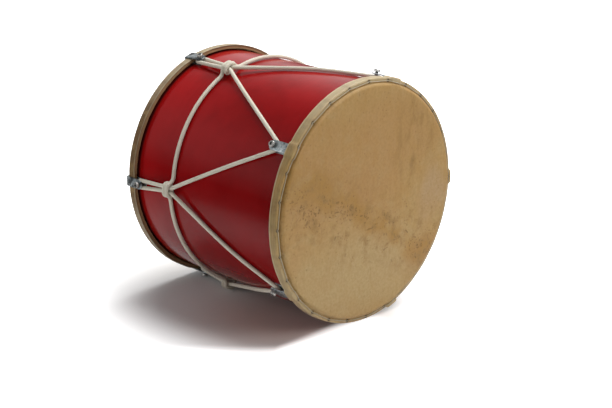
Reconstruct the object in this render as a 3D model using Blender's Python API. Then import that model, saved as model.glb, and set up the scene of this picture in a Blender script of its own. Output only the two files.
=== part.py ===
"""Double-headed drum, rope tensioned, lying on its side.

Frame: the drum's axis runs along X with the front head at +X, Z is up, and the origin lies on
the floor under the middle of the drum. An angle round the drum is counted in degrees from the
top, positive towards -Y. A depth is counted in from the nearest playing face.
"""

import math

import bmesh
import bpy
from mathutils import Matrix, Vector

# Overall sizes, in metres
FACE_TO_FACE = 0.322
FIT_GAP = 0.0003

# Shell
SHELL_RADIUS = 0.167
SHELL_WALL = 0.008
EDGE_ROUNDING = 0.0065
EDGE_STEPS = 3
EDGE_SHARE_OF_WALL = 0.85

# Rawhide heads
SKIN = 0.0012
COLLAR_DEPTH = 0.018
RIM_DROP = 0.005
COLLAR_ROUNDING = 0.0018
BULGE_RAMP = 1.7

# Hoops under the skin and stiffening rings in the shell
HOOP_WALL = 0.0042
HOOP_END_GAP = 0.0008
HOOP_CHAMFER = 0.001
RING_WALL = 0.0075
RING_WIDTH = 0.026
RING_SETBACK = 0.0045

# Steel hooks and their bolts
HOOKS = 5
FACETS_PER_HOOK = 12
STRAP = 0.0017
STRAP_WIDTH = 0.0145
STRAP_BEND = 0.001
FRONT_REACH = 0.024
REAR_REACH = 0.012
STEP_CLEARANCE = 0.0015
STEP_LENGTH = 0.0055
ROUND_END_STEPS = 8
BOLT_RADIUS = 0.0025
BOLT_HEAD_RADIUS = 0.0045
BOLT_HEAD_HEIGHT = 0.0032
BOLT_NECK = 0.0024
BOLT_CHAMFER = 0.0012
SOCKET_RADIUS = 0.0021
SOCKET_DEPTH = 0.0014
BOLT_SIDES = 12

# Tension rope and girdle cord
ROPE_RADIUS = 0.00275
ROPE_PLAY = 0.0005
LEG_PLAY = 0.0004
CHORD_ALLOWANCE = 0.00035
BEVEL_RESOLUTION = 2
SPAN_STEPS = 7
BOLT_TURN_STEPS = 6
HITCH_FROM_REAR_FACE = 0.099
HITCH_SHIFTS = [(0.0015, 2.5), (-0.001, -2.5), (0, -4.5), (0.001, 2), (0, -1)]
HITCH_RAMP = 0.0190
HITCH_RAMP_RISE = 0.0042
HITCH_STEP = 24
GIRDLE_STEP = 5.5
SAMPLE_SPACING = 0.0015

# Lacing threads
THREAD_RADIUS = 0.0006
THREAD_INSET = 0.0036
STITCHES = 28

# Sizes that follow from the ones above
HALF_LENGTH = FACE_TO_FACE / 2
FACETS = FACETS_PER_HOOK * HOOKS
FACET_STEP = 360 / FACETS
HOOK_PITCH = 360 / HOOKS
EDGE = min(EDGE_ROUNDING, EDGE_SHARE_OF_WALL * SHELL_WALL)
EDGE_CENTRE_RADIUS = SHELL_RADIUS - EDGE
EDGE_CENTRE_DEPTH = SKIN + FIT_GAP + EDGE
SKIN_OVER_EDGE = EDGE + FIT_GAP + SKIN
INNER_LEG = SHELL_RADIUS + FIT_GAP
HOOP_INNER = INNER_LEG + STRAP + FIT_GAP
HOOP_OUTER = HOOP_INNER + HOOP_WALL
HOOP_DEPTH = RIM_DROP + SKIN + FIT_GAP
COLLAR_RADIUS = HOOP_OUTER + FIT_GAP + SKIN
BULGE = STRAP + FIT_GAP
OVER_COLLAR = COLLAR_RADIUS + FIT_GAP
EYE_LEG = INNER_LEG + STRAP + 2 * (ROPE_RADIUS + LEG_PLAY)
FRONT_EYE_DEPTH = COLLAR_DEPTH + FRONT_REACH
REAR_EYE_DEPTH = COLLAR_DEPTH + REAR_REACH
STEP_START = COLLAR_DEPTH + STEP_CLEARANCE
STEP_END = STEP_START + STEP_LENGTH
BOLT_FOOT = INNER_LEG + FIT_GAP
BOLT_UNDERHEAD = EYE_LEG + STRAP + BOLT_NECK
BOLT_TOP = BOLT_UNDERHEAD + BOLT_HEAD_HEIGHT
BOLT_HOLE = BOLT_RADIUS + FIT_GAP
ROPE_AT_BOLT = INNER_LEG + STRAP + ROPE_RADIUS + LEG_PLAY
SHELL_CORNER = SHELL_RADIUS / math.cos(math.radians(FACET_STEP / 2))
ROPE_ON_SHELL = SHELL_CORNER + FIT_GAP + ROPE_RADIUS + CHORD_ALLOWANCE
WRAP_RADIUS = 2 * ROPE_RADIUS + ROPE_PLAY
ROPE_IN_HITCH = ROPE_ON_SHELL + WRAP_RADIUS
BOLT_TURN_RADIUS = BOLT_HOLE + ROPE_RADIUS
PAIR_OFFSET = ROPE_RADIUS + ROPE_PLAY / 2
WRAP_OFFSET = ROPE_RADIUS + ROPE_PLAY / 2
HITCH_HALF = WRAP_OFFSET + ROPE_RADIUS + ROPE_PLAY
THREAD_LINE_RADIUS = COLLAR_RADIUS - THREAD_INSET

END_SIGN = {"front": 1, "rear": -1}
HOOK_ANGLES = {end: [HOOK_PITCH * (i - sign / 4) for i in range(HOOKS)]
               for end, sign in END_SIGN.items()}
HITCH_ANGLES = [HOOK_ANGLES["rear"][i] + HITCH_SHIFTS[i % len(HITCH_SHIFTS)][1]
                for i in range(HOOKS)]
HITCH_X = [HITCH_FROM_REAR_FACE - HALF_LENGTH + HITCH_SHIFTS[i % len(HITCH_SHIFTS)][0]
           for i in range(HOOKS)]


def point(x, radius, angle):
    """Place a point from its place along the drum, its radius and its angle from the top."""
    turn = math.radians(angle)
    return Vector((x, -math.sin(turn) * radius, COLLAR_RADIUS + math.cos(turn) * radius))


def depth_to_x(end, depth):
    """Place along the drum of a depth behind one playing face."""
    return END_SIGN[end] * (HALF_LENGTH - depth)


def on_facet(radius, angle):
    """Radius at an angle of a flat-sided ring whose flats lie at the given radius."""
    from_middle = angle - FACET_STEP * round(angle / FACET_STEP)
    return radius / math.cos(math.radians(from_middle))


def facet_angles(extra=()):
    """Angles of the ring's corners, with extra lines where a shape needs them."""
    corners = [FACET_STEP * (i + 0.5) for i in range(FACETS)]
    return sorted(corners + [angle % 360 for angle in extra])


def material(name, colour, roughness, metallic=0.0):
    """Principled material with a plain colour."""
    new = bpy.data.materials.new(name)
    new.use_nodes = True
    shader = new.node_tree.nodes["Principled BSDF"]
    shader.inputs["Base Color"].default_value = (*colour, 1)
    shader.inputs["Roughness"].default_value = roughness
    shader.inputs["Metallic"].default_value = metallic
    return new


def add_object(name, mesh, finish):
    """Link a mesh to the scene as a named piece with its material."""
    piece = bpy.data.objects.new(name, mesh)
    if not mesh.materials:
        mesh.materials.append(finish)
    bpy.context.scene.collection.objects.link(piece)
    return piece


def mesh_from(name, bm):
    """Turn an edited bmesh into a mesh with outward faces and smooth round sides."""
    bmesh.ops.recalc_face_normals(bm, faces=bm.faces)
    mesh = bpy.data.meshes.new(name)
    bm.to_mesh(mesh)
    bm.free()
    mesh.shade_smooth()
    mesh.set_sharp_from_angle(angle=math.radians(30))
    return mesh


def ring_mesh(name, sections, angles):
    """Close a ring through one closed section of (x, radius) points for each angle."""
    bm = bmesh.new()
    rings = [[bm.verts.new(point(x, on_facet(radius, angle), angle)) for x, radius in section]
             for section, angle in zip(sections, angles)]
    count = len(rings[0])
    for this, following in zip(rings, rings[1:] + rings[:1]):
        for i in range(count):
            j = (i + 1) % count
            bm.faces.new((this[i], this[j], following[j], following[i]))
    return mesh_from(name, bm)


def cup_mesh(name, sections, angles):
    """Close a cup whose sections start and end on the drum's axis."""
    bm = bmesh.new()
    first_pole = bm.verts.new(point(sections[0][0][0], 0, 0))
    last_pole = bm.verts.new(point(sections[0][-1][0], 0, 0))
    rings = [[bm.verts.new(point(x, on_facet(radius, angle), angle)) for x, radius in section[1:-1]]
             for section, angle in zip(sections, angles)]
    for this, following in zip(rings, rings[1:] + rings[:1]):
        bm.faces.new((first_pole, this[0], following[0]))
        for i in range(len(this) - 1):
            bm.faces.new((this[i], this[i + 1], following[i + 1], following[i]))
        bm.faces.new((this[-1], last_pole, following[-1]))
    return mesh_from(name, bm)


def box_cutter(name, lows, highs):
    """Box that only cuts other pieces and is left out of the model."""
    bm = bmesh.new()
    bmesh.ops.create_cube(bm, size=1)
    for vert in bm.verts:
        for axis in range(3):
            vert.co[axis] = highs[axis] if vert.co[axis] > 0 else lows[axis]
    mesh = bpy.data.meshes.new(name)
    bm.to_mesh(mesh)
    bm.free()
    return hide_cutter(name, mesh)


def hide_cutter(name, mesh):
    """Link a cutter so that it shows as wire and never renders."""
    cutter = bpy.data.objects.new(name, mesh)
    cutter.hide_render = True
    cutter.display_type = 'WIRE'
    bpy.context.scene.collection.objects.link(cutter)
    return cutter


def cut(piece, cutter, operation='DIFFERENCE'):
    """Add a Boolean that keeps Blender's exact solver."""
    modifier = piece.modifiers.new(cutter.name, 'BOOLEAN')
    modifier.operation = operation
    modifier.object = cutter
    modifier.solver = 'EXACT'


# Shell and the rings inside it

def edge_arc(radius, first, last, steps):
    """Arc over the shell's bearing edge as (depth, radius) points, from flat top outwards."""
    points = []
    for i in range(steps + 1):
        turn = first + (last - first) * i / steps
        points.append((EDGE_CENTRE_DEPTH - radius * math.cos(turn),
                       EDGE_CENTRE_RADIUS + radius * math.sin(turn)))
    return points


def build_shell(finish):
    """Plain tube whose outer edges are rounded where the skins bear."""
    arc = edge_arc(EDGE, 0, math.pi / 2, EDGE_STEPS)
    inner = SHELL_RADIUS - SHELL_WALL
    top = SKIN + FIT_GAP
    section = [(depth_to_x("front", top), inner)]
    section += [(depth_to_x("front", depth), radius) for depth, radius in arc]
    section += [(depth_to_x("rear", depth), radius) for depth, radius in reversed(arc)]
    section.append((depth_to_x("rear", top), inner))
    angles = facet_angles()
    add_object("shell", ring_mesh("shell", [section] * len(angles), angles), finish)


def build_inner_ring(end, finish):
    """Stiffening ring glued inside one end of the shell."""
    outer = SHELL_RADIUS - SHELL_WALL - FIT_GAP
    inner = outer - RING_WALL
    depths = (RING_SETBACK, RING_SETBACK + RING_WIDTH)
    corners = [(depths[0], inner), (depths[0], outer), (depths[1], outer), (depths[1], inner)]
    section = [(depth_to_x(end, depth), radius) for depth, radius in corners]
    name = end + "_inner_ring"
    angles = facet_angles()
    add_object(name, ring_mesh(name, [section] * len(angles), angles), finish)


def build_hoop(end, finish):
    """Flat hoop under the lap of one head, with broken edges."""
    last = COLLAR_DEPTH - HOOP_END_GAP
    corners = [
        (HOOP_DEPTH + HOOP_CHAMFER, HOOP_INNER), (HOOP_DEPTH, HOOP_INNER + HOOP_CHAMFER),
        (HOOP_DEPTH, HOOP_OUTER - HOOP_CHAMFER), (HOOP_DEPTH + HOOP_CHAMFER, HOOP_OUTER),
        (last, HOOP_OUTER), (last, HOOP_INNER),
    ]
    section = [(depth_to_x(end, depth), radius) for depth, radius in corners]
    name = end + "_hoop"
    angles = facet_angles()
    add_object(name, ring_mesh(name, [section] * len(angles), angles), finish)


# Rawhide heads

def head_section(end, bulge):
    """Section of a head: disc, bearing edge, rim and lap, raised by a bulge from 0 to 1."""
    rise = BULGE * bulge
    rim = RIM_DROP - rise
    lap = COLLAR_RADIUS + rise
    over_edge = math.acos((EDGE_CENTRE_DEPTH - rim) / SKIN_OVER_EDGE)
    under_edge = math.acos((EDGE_CENTRE_DEPTH - rim - SKIN) / (SKIN_OVER_EDGE - SKIN))
    outside = edge_arc(SKIN_OVER_EDGE, 0, over_edge, EDGE_STEPS)
    outside += [(rim, lap - COLLAR_ROUNDING), (rim + COLLAR_ROUNDING, lap), (COLLAR_DEPTH, lap)]
    corner = COLLAR_ROUNDING - SKIN / 2
    inside = [(COLLAR_DEPTH, lap - SKIN), (rim + SKIN + corner, lap - SKIN),
              (rim + SKIN, lap - SKIN - corner)]
    inside += reversed(edge_arc(SKIN_OVER_EDGE - SKIN, 0, under_edge, EDGE_STEPS))
    points = [(0, 0)] + outside + inside + [(SKIN, 0)]
    return [(depth_to_x(end, depth), radius) for depth, radius in points]


def bulge_half_angle():
    """Half the angle over which the skin lies flat on a hook's strap."""
    return FACET_STEP / 2


def bulge_at(angle, hooks):
    """How far the skin is raised at an angle: 1 over a strap, 0 away from it."""
    away = min(abs((angle - hook + 180) % 360 - 180) for hook in hooks)
    return min(1, max(0, 1 - (away - bulge_half_angle()) / BULGE_RAMP))


def bulge_feet(hooks):
    """Angles where the bulges over the straps run out."""
    reach = bulge_half_angle() + BULGE_RAMP
    return [hook + side * reach for hook in hooks for side in (-1, 1)]


def build_front_head(finish):
    """Head whose lap covers the hooks' straps, so it bulges over each one."""
    hooks = HOOK_ANGLES["front"]
    angles = facet_angles(bulge_feet(hooks))
    sections = [head_section("front", bulge_at(angle, hooks)) for angle in angles]
    add_object("front_head", cup_mesh("front_head", sections, angles), finish)


def build_rear_head(finish):
    """Head that is slit at each hook, whose strap lies over the lap."""
    angles = facet_angles()
    sections = [head_section("rear", 0)] * len(angles)
    head = add_object("rear_head", cup_mesh("rear_head", sections, angles), finish)
    half = STRAP_WIDTH / 2 + FIT_GAP
    x_low = depth_to_x("rear", 0)
    x_high = depth_to_x("rear", COLLAR_DEPTH / 2)
    for i, angle in enumerate(HOOK_ANGLES["rear"]):
        slit = box_cutter("slit_cutter_%d" % (i + 1),
                          (x_low, -half, INNER_LEG - FIT_GAP),
                          (x_high, half, INNER_LEG + STRAP + FIT_GAP))
        slit.location = (0, 0, COLLAR_RADIUS)
        slit.rotation_euler = (math.radians(angle), 0, 0)
        cut(head, slit)


# Hooks and bolts

def strap_sides(centre_line):
    """Both sides of a bent strap, from its centre line of (depth, radius) points."""
    sides = ([], [])
    last = len(centre_line) - 1
    for i, (depth, radius) in enumerate(centre_line):
        before = Vector(centre_line[max(i - 1, 0)])
        here = Vector((depth, radius))
        after = Vector(centre_line[min(i + 1, last)])
        first = (here - before if i > 0 else after - here).normalized()
        second = (after - here if i < last else here - before).normalized()
        normal_1 = Vector((-first.y, first.x))
        normal_2 = Vector((-second.y, second.x))
        mitre = (normal_1 + normal_2).normalized()
        reach = STRAP / 2 / mitre.dot(normal_1)
        sides[0].append(here + mitre * reach)
        sides[1].append(here - mitre * reach)
    return sides[0] + list(reversed(sides[1]))


def hook_centre_line(end):
    """Centre line of a hook from its outer eye, over the hoop, to its inner eye."""
    outer = EYE_LEG + STRAP / 2
    inner = INNER_LEG + STRAP / 2
    if end == "front":
        eye = FRONT_EYE_DEPTH + STRAP_WIDTH / 2
        web = HOOP_DEPTH - FIT_GAP - STRAP / 2
        over_hoop = HOOP_OUTER + FIT_GAP + STRAP / 2
    else:
        eye = REAR_EYE_DEPTH + STRAP_WIDTH / 2
        web = RIM_DROP - 2 * (FIT_GAP + THREAD_RADIUS) - STRAP / 2
        over_hoop = OVER_COLLAR + STRAP / 2
    bends = [(web + STRAP_BEND, over_hoop), (web, over_hoop - STRAP_BEND),
             (web, inner + STRAP_BEND), (web + STRAP_BEND, inner)]
    return [(eye, outer), (STEP_END, outer), (STEP_START, over_hoop)] + bends + [(eye, inner)]


def round_end_cutter(name, end, eye_depth):
    """Plan outline of a hook, straight with one round end, as a block to keep."""
    half = STRAP_WIDTH / 2
    turns = [math.pi * i / ROUND_END_STEPS for i in range(ROUND_END_STEPS + 1)]
    outline = [(eye_depth + half * math.sin(turn), half * math.cos(turn)) for turn in turns]
    outline = [(-half, half)] + outline + [(-half, -half)]
    bm = bmesh.new()
    levels = (INNER_LEG - STRAP, BOLT_TOP)
    rows = [[bm.verts.new((depth_to_x(end, depth), across, level)) for depth, across in outline]
            for level in levels]
    bm.faces.new(rows[0])
    bm.faces.new(rows[1])
    for i in range(len(outline)):
        j = (i + 1) % len(outline)
        bm.faces.new((rows[0][i], rows[0][j], rows[1][j], rows[1][i]))
    return hide_cutter(name, mesh_from(name, bm))


def bolt_hole_cutter(name, end, eye_depth):
    """Round cutter for the bolt's holes in both legs of a hook."""
    bm = bmesh.new()
    length = BOLT_TOP - INNER_LEG + 2 * STRAP
    middle = (BOLT_TOP + INNER_LEG) / 2
    place = Matrix.Translation((depth_to_x(end, eye_depth), 0, middle))
    bmesh.ops.create_cone(bm, cap_ends=True, segments=BOLT_SIDES, radius1=BOLT_HOLE,
                          radius2=BOLT_HOLE, depth=length, matrix=place)
    return hide_cutter(name, mesh_from(name, bm))


def hook_mesh(end, eye_depth):
    """Strap bent to its side profile, cut to its plan outline and drilled for the bolt."""
    half = STRAP_WIDTH
    sides = strap_sides(hook_centre_line(end))
    bm = bmesh.new()
    rows = [[bm.verts.new((depth_to_x(end, place.x), across, place.y)) for place in sides]
            for across in (-half, half)]
    count = len(sides)
    for i in range(count // 2 - 1):
        far = count - 2 - i
        for row in rows:
            bm.faces.new((row[i], row[i + 1], row[far], row[far + 1]))
    for i in range(count):
        j = (i + 1) % count
        bm.faces.new((rows[0][i], rows[0][j], rows[1][j], rows[1][i]))
    blank = bpy.data.objects.new(end + "_hook_blank", mesh_from(end + "_hook_blank", bm))
    bpy.context.scene.collection.objects.link(blank)
    cutters = [round_end_cutter(end + "_hook_outline", end, eye_depth),
               bolt_hole_cutter(end + "_hook_hole", end, eye_depth)]
    cut(blank, cutters[0], 'INTERSECT')
    cut(blank, cutters[1])
    bpy.context.view_layer.update()
    finished = blank.evaluated_get(bpy.context.evaluated_depsgraph_get())
    mesh = bpy.data.meshes.new_from_object(finished)
    mesh.name = end + "_hook"
    mesh.materials.clear()
    for helper in [blank] + cutters:
        bpy.data.objects.remove(helper)
    return mesh


def bolt_mesh(end, eye_depth):
    """Socket-head bolt that stands off the strap on a short neck."""
    profile = [
        (0, BOLT_FOOT), (BOLT_RADIUS, BOLT_FOOT), (BOLT_RADIUS, BOLT_UNDERHEAD),
        (BOLT_HEAD_RADIUS, BOLT_UNDERHEAD), (BOLT_HEAD_RADIUS, BOLT_TOP - BOLT_CHAMFER),
        (BOLT_HEAD_RADIUS - BOLT_CHAMFER, BOLT_TOP), (SOCKET_RADIUS, BOLT_TOP),
        (SOCKET_RADIUS, BOLT_TOP - SOCKET_DEPTH), (0, BOLT_TOP - SOCKET_DEPTH),
    ]
    x = depth_to_x(end, eye_depth)
    bm = bmesh.new()
    foot = bm.verts.new((x, 0, profile[0][1]))
    top = bm.verts.new((x, 0, profile[-1][1]))
    rings = []
    for i in range(BOLT_SIDES):
        turn = 2 * math.pi * i / BOLT_SIDES
        rings.append([bm.verts.new((x + radius * math.cos(turn), radius * math.sin(turn), level))
                      for radius, level in profile[1:-1]])
    for this, following in zip(rings, rings[1:] + rings[:1]):
        bm.faces.new((foot, this[0], following[0]))
        for i in range(len(this) - 1):
            bm.faces.new((this[i], this[i + 1], following[i + 1], following[i]))
        bm.faces.new((this[-1], top, following[-1]))
    return mesh_from(end + "_bolt", bm)


def build_hooks(end, eye_depth, hook_finish, bolt_finish):
    """Five hooks of one end, each with its bolt, spaced evenly round the hoop."""
    meshes = {"hook": hook_mesh(end, eye_depth), "bolt": bolt_mesh(end, eye_depth)}
    finishes = {"hook": hook_finish, "bolt": bolt_finish}
    for i, angle in enumerate(HOOK_ANGLES[end]):
        for kind in ("hook", "bolt"):
            name = "%s_%s_%d" % (end, kind, i + 1)
            piece = add_object(name, meshes[kind], finishes[kind])
            piece.location = (0, 0, COLLAR_RADIUS)
            piece.rotation_euler = (math.radians(angle), 0, 0)


# Lacing threads

def thread_radius_at(angle):
    """Distance from the axis of a straight stitch between two holes."""
    step = 360 / STITCHES
    from_middle = angle % step - step / 2
    middle_radius = THREAD_LINE_RADIUS * math.cos(math.radians(step / 2))
    return middle_radius / math.cos(math.radians(from_middle))


def build_lacing(end, finish):
    """Thread of long straight stitches that lies on the rim of one head."""
    hooks = HOOK_ANGLES[end] if end == "front" else []
    angles = [360 / STITCHES * i for i in range(STITCHES)]
    for hook in hooks:
        reach = bulge_half_angle()
        angles += [(hook + side * reach) % 360 for side in (-1, 1)]
    angles += [angle % 360 for angle in bulge_feet(hooks)]
    route = []
    for angle in sorted(angles):
        rise = BULGE * bulge_at(angle, hooks) if hooks else 0
        depth = RIM_DROP - rise - FIT_GAP - THREAD_RADIUS
        route.append(point(depth_to_x(end, depth), thread_radius_at(angle), angle))
    tube(end + "_lacing", route, THREAD_RADIUS, 1, finish)


# Rope and cord

def tube(name, route, radius, resolution, finish):
    """Round endless tube along a closed route."""
    curve = bpy.data.curves.new(name, 'CURVE')
    curve.dimensions = '3D'
    curve.bevel_depth = radius
    curve.bevel_resolution = resolution
    spline = curve.splines.new('POLY')
    spline.points.add(len(route) - 1)
    for place, target in zip(spline.points, route):
        place.co = (*target, 1)
    spline.use_cyclic_u = True
    curve.materials.append(finish)
    piece = bpy.data.objects.new(name, curve)
    bpy.context.scene.collection.objects.link(piece)


def unrolled(x, across, radius, angle):
    """Point beside a radial line: across is counted along the drum's surface."""
    turn = angle + math.degrees(across / ROPE_IN_HITCH)
    return point(x, radius, turn)


def span_radius(angle, knot_angle, bolt_angle):
    """Radius of a taut run from a hitch to a bolt, lifted off the shell at both ends."""
    lift_at_knot = math.degrees(math.acos(ROPE_ON_SHELL / ROPE_IN_HITCH))
    lift_at_bolt = math.degrees(math.acos(ROPE_ON_SHELL / ROPE_AT_BOLT))
    near_knot = lift_at_knot - abs(angle - knot_angle)
    near_bolt = lift_at_bolt - abs(angle - bolt_angle)
    off_shell = max(near_knot, near_bolt, 0)
    return ROPE_ON_SHELL / math.cos(math.radians(off_shell))


def bolt_turn(x, angle, towards, arc):
    """Half loop round a bolt from one side to the other, over its side towards the face."""
    points = []
    for i in range(BOLT_TURN_STEPS + 1):
        turn = math.radians(-arc + 2 * arc * i / BOLT_TURN_STEPS)
        along = towards * BOLT_TURN_RADIUS * math.cos(turn)
        across = BOLT_TURN_RADIUS * math.sin(turn)
        points.append(unrolled(x + along, across, ROPE_AT_BOLT, angle))
    return points


def rope_run(knot_x, knot_angle, front_x, bolt_angle, side):
    """Taut run from a hitch's mouth to the side of a front bolt, and its slope in degrees."""
    mouth_x = knot_x + HITCH_HALF
    leave_angle = knot_angle + side * math.degrees(PAIR_OFFSET / ROPE_IN_HITCH)
    swing = math.radians(abs(bolt_angle - leave_angle))
    slope = math.atan2(swing * ROPE_ON_SHELL, front_x - mouth_x)
    arrive_x = front_x + BOLT_TURN_RADIUS * math.sin(slope)
    short_of_bolt = math.degrees(BOLT_TURN_RADIUS * math.cos(slope) / ROPE_AT_BOLT)
    arrive_angle = bolt_angle - side * short_of_bolt
    run = []
    for step in range(SPAN_STEPS + 1):
        share = step / SPAN_STEPS
        angle = leave_angle + (arrive_angle - leave_angle) * share
        radius = span_radius(angle, leave_angle, arrive_angle)
        run.append(point(mouth_x + (arrive_x - mouth_x) * share, radius, angle))
    return run, math.degrees(slope)


def build_tension_rope(finish):
    """One endless rope: from a front bolt through a hitch to a rear bolt, back, and on."""
    front_x = depth_to_x("front", FRONT_EYE_DEPTH)
    rear_x = depth_to_x("rear", REAR_EYE_DEPTH)
    route = []
    for i in range(HOOKS):
        front_angle = HOOK_ANGLES["front"][i]
        next_front = front_angle + HOOK_PITCH
        knot_x = HITCH_X[i]
        knot_angle = HITCH_ANGLES[i]
        incoming, _ = rope_run(knot_x, knot_angle, front_x, front_angle, -1)
        outgoing, slope = rope_run(knot_x, knot_angle, front_x, next_front, 1)
        foot_x = knot_x - HITCH_HALF
        route += reversed(incoming)
        route.append(unrolled(foot_x, -PAIR_OFFSET, ROPE_IN_HITCH, knot_angle))
        route += bolt_turn(rear_x, HOOK_ANGLES["rear"][i], -1, 90)
        route.append(unrolled(foot_x, PAIR_OFFSET, ROPE_IN_HITCH, knot_angle))
        route += outgoing
        route += bolt_turn(front_x, next_front, 1, 90 - slope)[1:-1]
    tube("tension_rope", route, ROPE_RADIUS, BEVEL_RESOLUTION, finish)
    return route


def wrap_shift(degrees):
    """Place of the hitch's turns along the drum: 1, then across under the pair, then -1."""
    return 1 - 2 * min(1, max(0, (-20 - degrees) / 140))


def hitch_route(knot_x, knot_angle):
    """Cord over a pair of rope runs, back under them and over again, two turns side by side."""
    low = ROPE_ON_SHELL - ROPE_IN_HITCH
    side = PAIR_OFFSET + WRAP_RADIUS
    ramp = [(-HITCH_RAMP, low), (-(HITCH_RAMP + side) / 2, low + HITCH_RAMP_RISE / 4),
            (-side - ROPE_RADIUS / 2, low + HITCH_RAMP_RISE)]
    places = [(across, rise, 1) for across, rise in ramp]
    for rope_side, first, last in ((-1, 170, 98), (1, 82, -86), (-1, -94, -262), (1, -278, -350)):
        steps = round((first - last) / HITCH_STEP)
        for step in range(steps + 1):
            degrees = first + (last - first) * step / steps
            turn = math.radians(degrees)
            places.append((rope_side * PAIR_OFFSET + WRAP_RADIUS * math.cos(turn),
                           WRAP_RADIUS * math.sin(turn), wrap_shift(degrees)))
    places += [(-across, rise, -1) for across, rise in reversed(ramp)]
    return [unrolled(knot_x + along * WRAP_OFFSET, across, ROPE_IN_HITCH + rise, knot_angle)
            for across, rise, along in places]


def build_girdle_cord(finish):
    """Endless cord round the shell, hitched round the five pairs of rope runs."""
    ramp_angle = math.degrees(HITCH_RAMP / ROPE_IN_HITCH)
    route = []
    for i in range(HOOKS):
        route += hitch_route(HITCH_X[i], HITCH_ANGLES[i])
        j = (i + 1) % HOOKS
        next_angle = HITCH_ANGLES[j] + (360 if j == 0 else 0)
        start = HITCH_ANGLES[i] + ramp_angle
        stop = next_angle - ramp_angle
        steps = round((stop - start) / GIRDLE_STEP)
        start_x = HITCH_X[i] - WRAP_OFFSET
        stop_x = HITCH_X[j] + WRAP_OFFSET
        for step in range(1, steps):
            share = step / steps
            route.append(point(start_x + (stop_x - start_x) * share, ROPE_ON_SHELL,
                               start + (stop - start) * share))
    tube("girdle_cord", route, ROPE_RADIUS, BEVEL_RESOLUTION, finish)
    return route


def dense(route, spacing):
    """Evenly close points along a closed route, each with its distance along it."""
    points = []
    travelled = 0
    for here, following in zip(route, route[1:] + route[:1]):
        length = (following - here).length
        parts = max(1, math.ceil(length / spacing))
        for part in range(parts):
            points.append((here.lerp(following, part / parts), travelled + length * part / parts))
        travelled += length
    return points, travelled


def report_gaps(routes):
    """Print each cord's length and its least gap to itself and to the other."""
    sampled = {name: dense(route, SAMPLE_SPACING) for name, route in routes.items()}
    near = 4 * ROPE_RADIUS
    for name, (points, length) in sampled.items():
        least = 1.0
        for i, (place, along) in enumerate(points):
            for other, other_along in points[i + 1:]:
                apart = abs(other_along - along)
                if min(apart, length - apart) > near:
                    least = min(least, (place - other).length)
        print("%s: length %.3f m, least gap to itself %.2f mm"
              % (name, length, (least - 2 * ROPE_RADIUS) * 1000))
    first, second = sampled.values()
    least = min((a - b).length for a, _ in first[0] for b, _ in second[0])
    print("least gap between rope and cord %.2f mm" % ((least - 2 * ROPE_RADIUS) * 1000))


def build_drum():
    """Build every piece of the drum."""
    for old in list(bpy.data.objects):
        bpy.data.objects.remove(old)
    lacquer = material("red_lacquer", (0.33, 0.014, 0.016), 0.25)
    wood = material("bare_wood", (0.42, 0.27, 0.14), 0.6)
    rawhide = material("rawhide", (0.45, 0.31, 0.16), 0.65)
    steel = material("zinc_steel", (0.42, 0.47, 0.52), 0.35, 1.0)
    rope = material("off_white_rope", (0.62, 0.58, 0.48), 0.85)
    thread = material("lacing_thread", (0.55, 0.48, 0.34), 0.8)
    build_shell(lacquer)
    for end, eye_depth in (("front", FRONT_EYE_DEPTH), ("rear", REAR_EYE_DEPTH)):
        build_inner_ring(end, wood)
        build_hoop(end, wood)
        build_lacing(end, thread)
        build_hooks(end, eye_depth, steel, steel)
    build_front_head(rawhide)
    build_rear_head(rawhide)
    tension_route = build_tension_rope(rope)
    girdle_route = build_girdle_cord(rope)
    report_gaps({"tension_rope": tension_route, "girdle_cord": girdle_route})


build_drum()
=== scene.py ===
"""Looks of a double-headed, rope-tuned drum that lies on its side.

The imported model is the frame. The drum's axis runs along X with the front head at +X, Z is up
and the origin lies on the floor under the middle of the drum. An angle round the drum is counted
in degrees from the top, positive towards -Y, and a depth is counted in from the nearest playing
face. All lengths are in metres.
"""

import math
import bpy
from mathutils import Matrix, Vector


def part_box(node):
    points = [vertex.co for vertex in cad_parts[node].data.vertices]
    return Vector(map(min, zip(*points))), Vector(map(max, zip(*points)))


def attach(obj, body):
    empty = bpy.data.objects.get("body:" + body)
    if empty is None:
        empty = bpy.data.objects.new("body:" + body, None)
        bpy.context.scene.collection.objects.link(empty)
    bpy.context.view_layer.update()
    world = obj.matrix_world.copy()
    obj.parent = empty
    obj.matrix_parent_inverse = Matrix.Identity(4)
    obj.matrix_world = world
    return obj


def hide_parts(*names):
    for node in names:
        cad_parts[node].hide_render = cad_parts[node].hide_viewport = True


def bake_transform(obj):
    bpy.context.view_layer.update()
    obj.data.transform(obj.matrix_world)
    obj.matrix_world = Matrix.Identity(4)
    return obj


bl_info = {
    "name": "Rope-tuned drum",
    "version": (1, 0, 0),
    "blender": (4, 5, 0),
    "location": "3D View > Sidebar > Drum",
    "description": "Builds the skins, lacquered shell, steel hooks, rope and studio of a drum",
    "category": "Object",
}

import bpy
import numpy as np
from mathutils import Matrix, Vector, noise

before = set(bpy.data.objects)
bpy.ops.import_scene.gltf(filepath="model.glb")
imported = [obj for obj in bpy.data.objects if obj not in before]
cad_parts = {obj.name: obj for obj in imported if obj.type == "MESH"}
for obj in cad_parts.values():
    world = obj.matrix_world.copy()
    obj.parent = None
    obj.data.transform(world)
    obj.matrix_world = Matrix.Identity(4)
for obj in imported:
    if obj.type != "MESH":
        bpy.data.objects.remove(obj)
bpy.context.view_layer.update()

# Sizes read from the frame
FRONT_SKIN_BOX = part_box("front_head")
SHELL_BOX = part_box("shell")
HALF_LENGTH = FRONT_SKIN_BOX[1].x
AXIS_HEIGHT = (SHELL_BOX[0].z + SHELL_BOX[1].z) / 2
SHELL_FLAT_RADIUS = (SHELL_BOX[1].z - SHELL_BOX[0].z) / 2
SHELL_END = SHELL_BOX[1].x

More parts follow.
